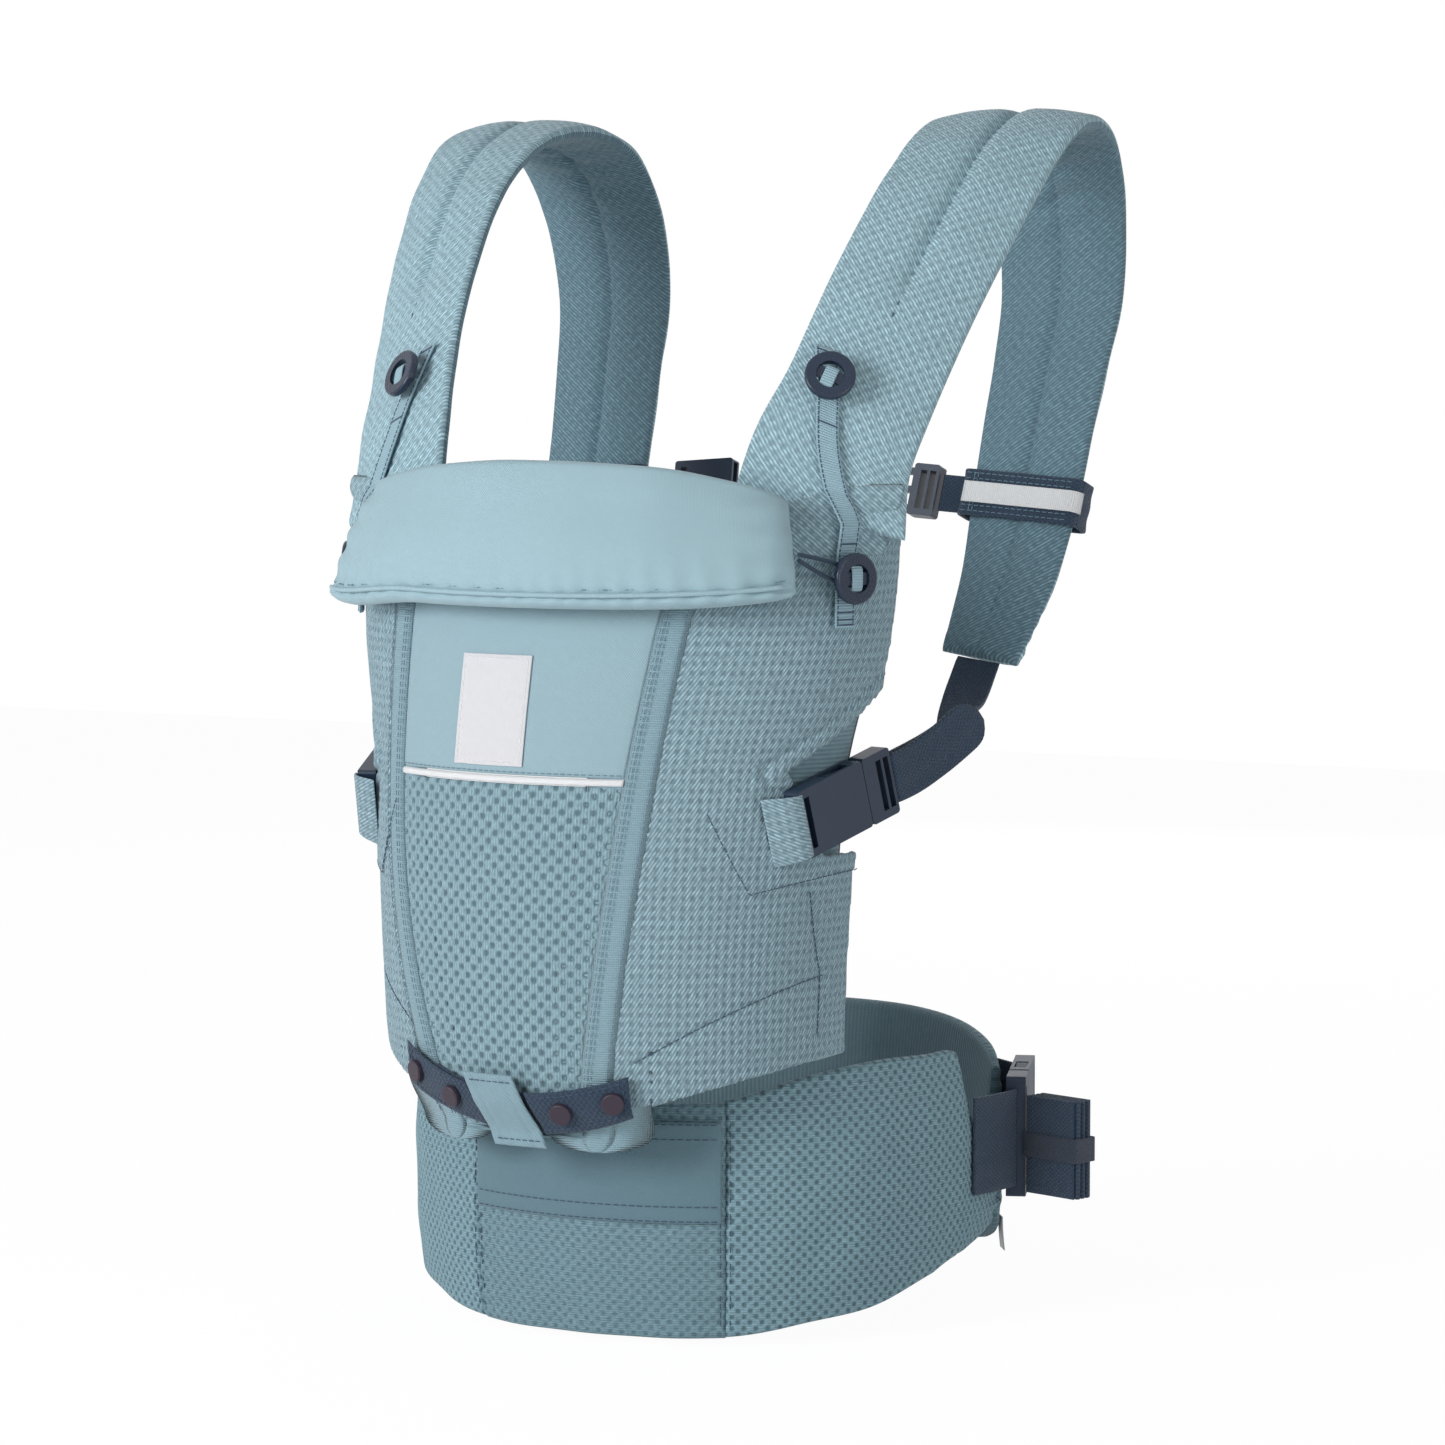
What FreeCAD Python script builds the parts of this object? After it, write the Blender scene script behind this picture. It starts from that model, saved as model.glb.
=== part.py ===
import FreeCAD
import Part
import math
import os

# Soft baby carrier: a seat panel with side wings, a padded waist belt that closes round the
# wearer, two padded shoulder straps, a flip-up head support and side release buckles.
# Millimetres, +Z up, -Y is the outer face of the panel. The origin is the centre of the ring
# that the belt makes round the wearer, at the height of the belt's lower edge.

V = FreeCAD.Vector
UP = V(0, 0, 1)
SIDES = (("left", -1), ("right", 1))

# Clearances and cloth thicknesses
seam_gap = 0.3
cut_over = 60.0
panel_cloth = 3.0
facing_cloth = 1.5
band_cloth = 1.6
cover_wall = 1.2
foam_gap = 0.8

# Waist belt: a ring of this radius round the wearer
belt_radius = 148.0
belt_thick = 14.0
belt_edge_thick = 7.0
belt_edge_bulge = 2.5
belt_centre_angle = 26.0
belt_centre_top = 112.0
belt_wing_top = 130.0
belt_wing_tip_z = 50.0
belt_rise = 46.0
belt_wing_angle = 105.0
belt_turn = 4.5
belt_steps = 20
wing_angle_shares = (0.0, 0.2, 0.4, 0.6, 0.70, 0.725, 0.771, 0.83, 0.892, 1.0)
wing_top_shares = (0.80, 0.93, 1.0, 1.0, 0.99, 0.84, 0.55, 0.36, 0.21, 0.05)
wing_rise_shares = (0.0, 0.12, 0.24, 0.49, 0.62, 0.64, 0.68, 0.73, 0.80, 1.0)
wing_thick_shares = (1.0, 1.0, 1.0, 1.0, 1.0, 0.97, 0.9, 0.85, 0.75, 0.6)
pocket_low_share = 0.5
pocket_side_turn = 0.7
pocket_high_share = 0.95

# Lumbar pad at the wearer's back, on the same ring
lumbar_angle = 121.0
lumbar_bottom = 12.0
lumbar_top = 126.0
lumbar_end_drop = 20.0
lumbar_thick = 18.0
lumbar_edge_thick = 9.0
lumbar_thin_share = 0.45
tag_top_share = 0.8
tag_length = 18.0
tunnel_angle = 28.0
tunnel_turn = 7.0
tunnel_cloth = 1.2
tunnel_margin = 3.0

# Seat panel: horizontal sections are half ellipses, given at these shares of its height
panel_y = -103.0
panel_bottom = 104.0
panel_height = 296.0
panel_top_z = panel_bottom + panel_height
panel_half_width = 150.0
panel_depth = 103.0
panel_edge_y = 20.0
height_shares = (0.0, 0.05, 0.12, 0.32, 0.60, 0.80, 1.0)
width_shares = (0.787, 0.82, 0.833, 0.853, 0.893, 0.973, 1.0)
depth_shares = (0.913, 0.98, 0.995, 0.99, 0.951, 0.893, 0.796)
edge_shares = (0.5, 0.5, 0.4, 0.35, 0.5, 0.8, 1.0)
panel_steps = 14
wide_arcs = 4
facing_inner_share = 0.8
facing_bulge = 4.2
facing_ease_share = 0.12
band_bend_step = 8
slit_gap = 0.5
strip_height = 3.6
strip_z = panel_bottom + panel_height * 0.581
facing_rise = 6.0
yoke_top = panel_top_z + 25.0
band_width = 14.0
band_inner_top = {"left": 83.0, "right": 67.0}
band_inner_bottom = {"left": 42.0, "right": 28.0}
wing_hem_rise = 33.0
notch_inner_y = -39.0
notch_inner_z = panel_bottom + panel_height * 0.595
notch_low_y = -17.0
notch_low_z = panel_bottom + panel_height * 0.453
notch_top_z = panel_bottom + panel_height * 0.79
notch_back_y = 40.0
label_width = 41.0
label_height = 53.5
label_x = -22.7
label_bottom = strip_z + 6.3
label_thick = 0.8

# Head support: a padded flap that hangs over the top of the panel and flips up
head_top_middle = V(0, -177.5, panel_top_z + 31)
head_top_end = V(110, -141.5, panel_top_z + 19)
head_low_middle = V(0, -195, panel_top_z - 41)
head_low_end = V(136, -156, panel_top_z - 38)
head_depth = 24.0
head_steps = 14
head_end_share = 0.35
hinge_cord_radius = 1.6
hinge_cord_half_length = 30.0
fold_half_width = 15.0
fold_gap = 0.15
elastic_radius = 1.1
elastic_reach = 31.4
elastic_lift = 11.0

# Shoulder straps: places of the centre line of the right strap, front seam to back end
strap_places_above_panel = (
    (122.9, -115.3, 0), (125.9, -104.6, 30.6), (132.2, -86.5, 61.4), (139.6, -54.1, 111.2),
    (147, -13, 160), (148, 27, 190), (145, 67, 199), (141, 105, 188), (138, 129, 156),
    (135.4, 137, 112), (133.2, 127, 74), (131.2, 116, 40), (129.6, 105, 6), (125, 93, -36),
    (118, 73, -77))
strap_places = [V(x, y, panel_top_z + rise) for x, y, rise in strap_places_above_panel]
strap_turns = (28, 29, 30, 30, 26, 18, 8, 3, 0, 0, 0, 0, 0, 0, 0)
strap_width = 74.0
strap_width_shares = (1.18, 1.11, 1.04, 1.0, 1.0, 1.0, 1.0, 0.97, 0.92, 0.87, 0.81, 0.78, 0.75,
                      0.66, 0.53)
strap_finer = 2
keeper_place = 12
strap_thick = 15.0
strap_edge_thick = 7.0
strap_edge_bulge = 2.5

# Side release buckles: width across, length and thickness of each of the three sizes
side_buckle = {"width": 34.0, "female": 38.0, "male": 20.0, "thick": 9.6, "web": 25.0}
waist_buckle = {"width": 62.0, "female": 44.0, "male": 24.0, "thick": 10.0, "web": 50.0}
chest_buckle = {"width": 28.0, "female": 26.0, "male": 15.0, "thick": 8.0, "web": 20.0}
buckle_wall = 1.8
buckle_play = 0.4
latch_angle = 8.0
latch_travel = 26.0
ramp_share = 0.68
web_thick = 1.5
side_buckle_start = V(124, -132.9, panel_bottom + panel_height * 0.519)
side_buckle_turn = 74.0
side_buckle_rise = 16.0
waist_buckle_angle = 111.0
waist_web_z = 82.0
anchor_length = 12.0
slit_length = 13.0
web_gap = 0.8
twist_start_share = 0.3
twist_end_share = 0.95
web_steps = 16
tail_alongs = (0.0, 12.0, 30.0, 50.0)
tail_outs = (0.0, 1.5, 7.0, 14.0)
tail_rises = (0.0, 0.0, 6.0, 16.0)

# Buttons, keepers, seat adjusters and roll
button_radius = 12.5
button_thick = 4.0
button_hole = 7.0
button_cross = 6.0
button_cross_thick = 1.6
shank_radius = 2.2
tape_gap = 1.4
shank_length = 4.6
tape_width = 10.0
tape_thick = 1.2
button_inset = 19.0
upper_button_z = panel_top_z + 58.0
lower_button_z = panel_top_z - 26.0
seam_inset = -10.0
tape_top_z = panel_top_z + 74.0
tape_bottom_z = panel_top_z - 50.0
tape_steps = 18
tape_blend = 14.0
tape_hump = 2.4
lower_button_x = 135.7
keeper_height = 25.0
keeper_thick = 2.0
keeper_play = 1.0
keeper_drop = 2.0
keeper_tail = 16.0
adjuster_width = 21.0
adjuster_middle_z = 114.0
adjuster_rise = 16.0
adjuster_cloth = 2.0
adjuster_half_length = 54.0
adjuster_curve_length = 69.0
adjuster_steps = 12
tab_outer_x = {"left": -74.0, "right": 56.0}
snap_places_x = {"left": (-40.5, -66.0), "right": (22.5, 48.5)}
loop_width = 28.0
loop_top_x = -15.5
loop_bottom_x = -2.0
loop_top_z = 133.0
loop_bottom_z = 97.0
loop_steps = 6
tab_gap = 1.5
snap_radius = 5.6
snap_thick = 2.6
roll_turns = 8
roll_web_thick = 1.2
roll_length = 31.0
roll_pitch = 1.75
roll_lean = 52.0
roll_ahead = 19.2
roll_out = 22.5
elastic_cloth = 0.8
roll_drop = 3.0


def place_point(origin, x_axis, y_axis, z_axis, x, y, z):
    return origin + x_axis * x + y_axis * y + z_axis * z


def arc(a, b, c):
    return Part.Arc(a, b, c).toShape()


def line(a, b):
    return Part.LineSegment(a, b).toShape()


def loft(wires, straight=False):
    return Part.makeLoft(wires, True, straight)


def save(name, shape):
    shape.exportStep("parts/" + name + ".step")
    box = shape.BoundBox
    print("%-26s solids %d volume %9.1f valid %s  z %6.1f..%6.1f" % (
        name, len(shape.Solids), shape.Volume, shape.isValid(), box.ZMin, box.ZMax))


def mirrored(shape, side):
    if side > 0:
        return shape
    return shape.mirror(V(0, 0, 0), V(1, 0, 0))


def both_sides(shape):
    return Part.makeCompound([mirrored(shape, side) for name, side in SIDES])


def curve_between(before, a, b, after, part):
    # A smooth curve from a to b that leaves and arrives in line with its neighbours
    return (a * 2 + (b - before) * part + (before * 2 - a * 5 + b * 4 - after) * part ** 2
            + (a * 3 - before - b * 3 + after) * part ** 3) * 0.5


def between(shares, values, share):
    last = len(shares) - 1
    low = 0
    while low < last - 1 and share > shares[low + 1]:
        low += 1
    part = (share - shares[low]) / (shares[low + 1] - shares[low])
    return curve_between(values[max(low - 1, 0)], values[low], values[low + 1],
                         values[min(low + 2, last)], max(0.0, min(1.0, part)))


# The panel's form
def panel_form(z):
    share = (z - panel_bottom) / panel_height
    half = panel_half_width * between(height_shares, width_shares, share)
    depth = panel_depth * between(height_shares, depth_shares, share)
    edge_y = panel_y + panel_edge_y * between(height_shares, edge_shares, share)
    return half, depth, edge_y


def panel_point(z, turn, out):
    half, depth, edge_y = panel_form(z)
    return V((half + out) * math.sin(turn), edge_y - (depth + out) * math.cos(turn), z)


def panel_turn(z, x):
    half = panel_form(z)[0]
    return math.asin(max(-1.0, min(1.0, x / half)))


def panel_wire(z, x_low, x_high, out, thick, arcs):
    low, high = panel_turn(z, x_low), panel_turn(z, x_high)
    last = 2 * arcs
    turns = [low + (high - low) * step / last for step in range(last + 1)]
    outer = [panel_point(z, turn, out) for turn in turns]
    inner = [panel_point(z, turn, out - thick) for turn in reversed(turns)]
    edges = [arc(*outer[i:i + 3]) for i in range(0, last, 2)] + [line(outer[-1], inner[0])]
    edges += [arc(*inner[i:i + 3]) for i in range(0, last, 2)] + [line(inner[-1], outer[0])]
    return Part.Wire(edges)


def panel_heights(z_low, z_high):
    inside = [panel_bottom + panel_height * step / panel_steps for step in range(panel_steps + 1)]
    margin = strip_height / 4
    return [z_low] + [z for z in inside if z_low + margin < z < z_high - margin] + [z_high]


def panel_piece(z_low, z_high, x_low, x_high, out=0.0, thick=panel_cloth, arcs=1, bulge=0.0):
    wires = []
    for z in panel_heights(z_low, z_high):
        share = (z - z_low) / (z_high - z_low)
        level = out + bulge * min(1.0, share / facing_ease_share, (1 - share) / facing_ease_share)
        wires.append(panel_wire(z, x_low(z), x_high(z), level, thick, arcs))
    return loft(wires, True)


def buckle_room():
    # The opening in the wing for the side buckle, and the slit that its webbing goes in by
    width, thick = side_buckle["width"] + 2 * slit_gap, side_buckle["thick"] + 2 * slit_gap
    start_x = -buckle_tail() - slit_gap
    room = Part.makeBox(side_buckle["female"] - start_x, width, thick,
                        V(start_x, -width / 2, -thick / 2))
    slit_width = side_buckle["web"] + 2 * slit_gap
    slit = Part.makeBox(slit_length, slit_width, thick,
                        V(start_x - slit_length, -slit_width / 2, -thick / 2))
    origin, along, across, out = side_buckle_frame()
    return placed(room.fuse(slit), origin, along, across, out)


def band_inner(z, name):
    # The left band bends in below its middle, and the right one is straight
    share = (z - panel_bottom) / panel_height
    if name == "left":
        share = math.sin(min(1.0, share * panel_steps / band_bend_step) * math.pi / 2)
    return band_inner_bottom[name] + (band_inner_top[name] - band_inner_bottom[name]) * share


def band_outer(z, name):
    return band_inner(z, name) + band_width


def panel_edge(z):
    return panel_form(z)[0]


def side_prism(points, x_low, x_high):
    corners = [V(x_low, y, z) for y, z in points]
    return Part.Face(Part.makePolygon(corners + corners[:1])).extrude(V(x_high - x_low, 0, 0))


def front_prism(points, y_low, y_high):
    corners = [V(x, y_low, z) for x, z in points]
    return Part.Face(Part.makePolygon(corners + corners[:1])).extrude(V(0, y_high - y_low, 0))


def notch_tool():
    places = ((notch_inner_y, notch_inner_z), (notch_back_y, notch_top_z),
              (notch_back_y, notch_low_z), (notch_low_y, notch_low_z))
    points = [(panel_y + y, z) for y, z in places]
    return side_prism(points, panel_half_width / 2, panel_half_width + cut_over)


def panel_top():
    return panel_bottom + panel_height


def make_panel():
    strip_low = strip_z - strip_height / 2
    strip_high = strip_z + strip_height / 2

    def inner(z):
        return band_inner(z, "right") - seam_gap

    def inner_left(z):
        return seam_gap - band_inner(z, "left")

    save("panel_mesh", panel_piece(panel_bottom, strip_low - seam_gap, inner_left, inner,
                                   arcs=wide_arcs))
    save("reflective_piping", panel_piece(strip_low, strip_high, inner_left, inner,
                                          seam_gap, arcs=wide_arcs))
    save("panel_yoke", panel_piece(strip_high + seam_gap, yoke_top, inner_left, inner,
                                   arcs=wide_arcs))
    save("label_patch", panel_piece(label_bottom, label_bottom + label_height,
                                    lambda z: label_x - label_width / 2,
                                    lambda z: label_x + label_width / 2,
                                    seam_gap + label_thick, label_thick))
    half_edge = panel_edge(panel_bottom)
    hem_low = panel_bottom - facing_rise
    for name, side in SIDES:
        hem = front_prism(((0, hem_low), (half_edge * 2, hem_low),
                           (half_edge * 2, panel_bottom + wing_hem_rise * 2),
                           (half_edge, panel_bottom + wing_hem_rise),
                           (band_outer(panel_bottom, name), panel_bottom + wing_hem_rise / 4),
                           (0, panel_bottom + wing_hem_rise / 4)),
                          panel_y - panel_depth * 2, panel_y + panel_depth)
        wing = panel_piece(panel_bottom, panel_top(), lambda z: band_outer(z, name) + seam_gap,
                           panel_edge, arcs=wide_arcs)
        wing = wing.cut(hem).cut(notch_tool()).cut(buckle_room())
        band = panel_piece(panel_bottom, panel_top(), lambda z: band_inner(z, name),
                           lambda z: band_outer(z, name), band_cloth / 2, panel_cloth)
        save("panel_wing_" + name, mirrored(wing, side))
        save("panel_band_" + name, mirrored(band, side))
    facing = panel_piece(notch_low_z - label_height / 3, notch_top_z + facing_rise,
                         lambda z: panel_edge(z) * facing_inner_share, panel_edge,
                         -panel_cloth - 2 * seam_gap, facing_cloth, arcs=2, bulge=-facing_bulge)
    save("side_facings", both_sides(facing))
    make_seat_base()


def make_seat_base():
    # The floor of the seat pouch, a crescent of cloth from the belt to the panel's lower edge
    z = panel_bottom - seam_gap - panel_cloth
    half_x = band_inner(panel_bottom, "left")
    front = [panel_point(panel_bottom, panel_turn(panel_bottom, x), 0.0)
             for x in (-half_x, 0, half_x)]
    outer = belt_radius + belt_thick / 2 + 2 * seam_gap + band_cloth
    back_y = -math.sqrt(outer ** 2 - half_x ** 2)
    back = [V(half_x, back_y, 0), V(0, -outer, 0), V(-half_x, back_y, 0)]
    front = [V(p.x, p.y, z) for p in front]
    back = [V(p.x, p.y, z) for p in back]
    wire = Part.Wire([arc(*front), line(front[2], back[0]), arc(*back), line(back[2], front[0])])
    save("seat_base", Part.Face(wire).extrude(UP * panel_cloth))


# The belt's form
def ring_point(angle, radius, z):
    turn = math.radians(angle)
    return V(radius * math.sin(turn), -radius * math.cos(turn), z)


def ring_wire(angle, z_low, z_high, thick, edge, bulge, shrink=0.0):
    half, side = thick / 2 - shrink, edge / 2 - shrink
    low, high = z_low + shrink, z_high - shrink
    middle = (low + high) / 2
    spots = ((side, low), (half, middle), (side, high), (0, high + bulge), (-side, high),
             (-half, middle), (-side, low), (0, low - bulge), (side, low))
    points = [ring_point(angle, belt_radius + r, z) for r, z in spots]
    return Part.Wire([arc(*points[i:i + 3]) for i in (0, 2, 4, 6)])


def ring_pad(stations, shrink=0.0):
    return loft([ring_wire(*station, shrink) for station in stations], True)


def padded(stations):
    outer = ring_pad(stations)
    hollow = ring_pad(trimmed(stations, cover_wall), cover_wall)
    core = ring_pad(trimmed(stations, cover_wall + foam_gap), cover_wall + foam_gap)
    return outer.cut(hollow), core


def trimmed(stations, margin):
    turn = math.degrees(margin / belt_radius)
    first, last = stations[0], stations[-1]
    sign = 1 if last[0] > first[0] else -1
    return [(first[0] + turn * sign,) + first[1:]] + stations[1:-1] + [
        (last[0] - turn * sign,) + last[1:]]


def wing_stations(side):
    start = belt_centre_angle + belt_turn * side + math.degrees(seam_gap / belt_radius)
    stations = []
    for step in range(belt_steps + 1):
        share = step / belt_steps
        top, rise, thick = [between(wing_angle_shares, values, share) for values in
                            (wing_top_shares, wing_rise_shares, wing_thick_shares)]
        angle = start + (belt_wing_angle - start) * share
        z_high = belt_wing_tip_z + (belt_wing_top - belt_wing_tip_z) * top
        stations.append((angle, belt_rise * rise, z_high, belt_thick * thick,
                         belt_edge_thick * thick, belt_edge_bulge * thick))
    return stations


def make_belt():
    angles = [belt_turn + belt_centre_angle * (step * 2 / belt_steps - 1)
              for step in range(0, belt_steps + 1, 2)]
    centre = [(a, 0.0, belt_centre_top, belt_thick, belt_edge_thick, belt_edge_bulge)
              for a in angles]
    cover, core = padded(centre)
    save("belt_centre_cover", cover)
    save("belt_centre_foam", core)
    low, high = belt_centre_top * pocket_low_share, belt_centre_top * pocket_high_share
    inner = belt_radius + belt_thick / 2 + seam_gap
    pocket = []
    ends = [angles[0] + pocket_side_turn, angles[-1] - pocket_side_turn]
    for angle in [ends[0]] + angles[1:-1] + [ends[1]]:
        spots = ((inner, low), (inner + band_cloth, low), (inner + band_cloth, high),
                 (inner, high), (inner, low))
        pocket.append(Part.makePolygon([ring_point(angle, r, z) for r, z in spots]))
    save("belt_pocket", loft(pocket, True))
    foams = []
    for name, side in SIDES:
        cover, core = padded(wing_stations(side))
        save("belt_wing_cover_" + name, mirrored(cover, side))
        foams.append(mirrored(core, side))
    save("belt_wing_foams", Part.makeCompound(foams))
    make_lumbar_pad()


def lumbar_face(z):
    # Radius of the pad's outer face at a height, away from the pad's ends
    half_height = (lumbar_top - lumbar_bottom) / 2
    share = (z - lumbar_bottom - half_height) / half_height
    return belt_radius + lumbar_thick / 2 - (lumbar_thick - lumbar_edge_thick) / 2 * share ** 2


def tunnel():
    # A cloth bridge on the pad's outer face, which the waist webbing runs through
    half = waist_buckle["web"] / 2 + buckle_play
    low, high = waist_web_z - half, waist_web_z + half
    inner = waist_web_radius() + web_thick / 2 + seam_gap
    outer = inner + tunnel_cloth
    sunk = cover_wall / 2
    feet = (lumbar_face(low) - sunk, lumbar_face(high) - sunk)
    spots = ((feet[0], low), (inner, low), (inner, high), (feet[1], high),
             (feet[1], high + tunnel_margin), (outer, high + tunnel_margin),
             (outer, low - tunnel_margin), (feet[0], low - tunnel_margin), (feet[0], low))
    wires = []
    for turn in (-tunnel_turn / 2, 0, tunnel_turn / 2):
        angle = 180 - tunnel_angle + turn
        wires.append(Part.makePolygon([ring_point(angle, r, z) for r, z in spots]))
    return loft(wires, True)


def waist_web_radius():
    return belt_radius + lumbar_thick / 2 + seam_gap + web_thick / 2


def make_lumbar_pad():
    stations = []
    for step in range(belt_steps * 2 + 1):
        share = step / (belt_steps * 2)
        angle = lumbar_angle + (360 - 2 * lumbar_angle) * share
        end = abs(share - 0.5) * 2
        full = 1.0 - lumbar_thin_share * end ** 6
        stations.append((angle, lumbar_bottom + lumbar_end_drop * end ** 8,
                         lumbar_top - lumbar_end_drop * end ** 3, lumbar_thick * full,
                         lumbar_edge_thick * full, belt_edge_bulge))
    cover, core = padded(stations)
    right = tunnel()
    save("lumbar_pad_cover", cover.fuse([mirrored(right, side) for name, side in SIDES]))
    save("lumbar_pad_foam", core)


# Padded bodies that follow a line in space
def pad_wire(centre, across, out, half_width, half_thick, half_edge, bulge):
    spots = ((-half_width, half_edge), (0, half_thick), (half_width, half_edge),
             (half_width + bulge, 0), (half_width, -half_edge), (0, -half_thick),
             (-half_width, -half_edge), (-half_width - bulge, 0), (-half_width, half_edge))
    points = [centre + across * a + out * b for a, b in spots]
    return Part.Wire([arc(*points[i:i + 3]) for i in (0, 2, 4, 6)])


def strap_station(number):
    # Number counts the strap's places; between two of them it is a fraction
    shares = range(len(strap_places))
    centre = between(shares, strap_places, number)
    ahead = between(shares, strap_places, min(number + 0.25, shares[-1]))
    behind = between(shares, strap_places, max(number - 0.25, 0))
    tangent = V(UP) if number == 0 else (ahead - behind).normalize()
    turn = math.radians(between(shares, strap_turns, number))
    across = V(math.cos(turn), math.sin(turn), 0)
    across = (across - tangent * across.dot(tangent)).normalize()
    half = strap_width * between(shares, strap_width_shares, number) / 2
    return centre, across, across.cross(tangent), tangent, half


def strap_wires(shrink, ends):
    wires = []
    last = (len(strap_places) - 1) * strap_finer
    for step in range(last + 1):
        centre, across, out, tangent, half = strap_station(step / strap_finer)
        if step == 0:
            centre = centre + tangent * (ends + seam_gap)
        if step == last:
            centre = centre - tangent * ends
        wires.append(pad_wire(centre, across, out, half - shrink, strap_thick / 2 - shrink,
                              strap_edge_thick / 2 - shrink, strap_edge_bulge))
    return wires


def make_straps():
    outer = loft(strap_wires(0.0, 0.0), True)
    cover = outer.cut(loft(strap_wires(cover_wall, cover_wall), True))
    margin = cover_wall + foam_gap
    foam = loft(strap_wires(margin, margin), True)
    for name, side in SIDES:
        save("shoulder_strap_cover_" + name, mirrored(cover, side))
    save("shoulder_strap_foams", both_sides(foam))


def bow_point(middle, end, share):
    # A point of the level arc through end, middle and end's mirror image; share from -1 to 1
    rise = end.y - middle.y
    radius = (end.x ** 2 + rise ** 2) / (2 * rise)
    turn = math.asin(end.x / radius) * share
    return V(radius * math.sin(turn), middle.y + radius * (1 - math.cos(turn)),
             middle.z + (end.z - middle.z) * share ** 2)


def head_wires(shrink):
    wires = []
    for step in range(head_steps + 1):
        share = step * 2 / head_steps - 1
        full = head_end_share + (1 - head_end_share) * math.sqrt(1 - abs(share) ** 5)
        if abs(share) == 1:
            share = share * (1 - shrink / head_low_end.x)
        top = bow_point(head_top_middle, head_top_end, share)
        low = bow_point(head_low_middle, head_low_end, share)
        up = top - low
        half_height = up.Length / 2 * (0.55 + 0.45 * full)
        up.normalize()
        turn = math.asin(share * head_low_end.x / (head_low_end.x * 1.3))
        out = V(math.sin(turn), -math.cos(turn), 0)
        out = (out - up * out.dot(up)).normalize()
        half = head_depth * full / 2
        wires.append(pad_wire((top + low) * 0.5, up, out, half_height - half * 0.4 - shrink,
                              half - shrink, half * 0.62 - shrink, half * 0.4))
    return wires


def make_head_support():
    cover = loft(head_wires(0.0), True).cut(loft(head_wires(cover_wall), True))
    save("head_support_cover", cover)
    save("head_support_foam", loft(head_wires(cover_wall + foam_gap), True))
    # The fold that joins the flap to the top edge of the panel, with a cord in it
    hinge = hinge_place()
    cord = Part.makeCylinder(hinge_cord_radius, hinge_cord_half_length * 2,
                             V(-hinge_cord_half_length, hinge.y, hinge.z), V(1, 0, 0))
    front_y = head_top_middle.y
    fold = Part.makeBox(fold_half_width * 2, hinge.y - front_y, band_cloth,
                        V(-fold_half_width, front_y, hinge.z - band_cloth / 2))
    fold = fold.cut(loft(head_wires(-fold_gap), True))
    save("head_support_fold", cord.fuse(fold))
    print("HINGE head_support", tuple(hinge))


def hinge_place():
    top = panel_point(yoke_top, 0.0, -panel_cloth / 2)
    return V(0, top.y, yoke_top + seam_gap + hinge_cord_radius)


# Side release buckles, built along their own X axis: the male half pulls out towards +X
def buckle_tail():
    return buckle_wall * 5


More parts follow.
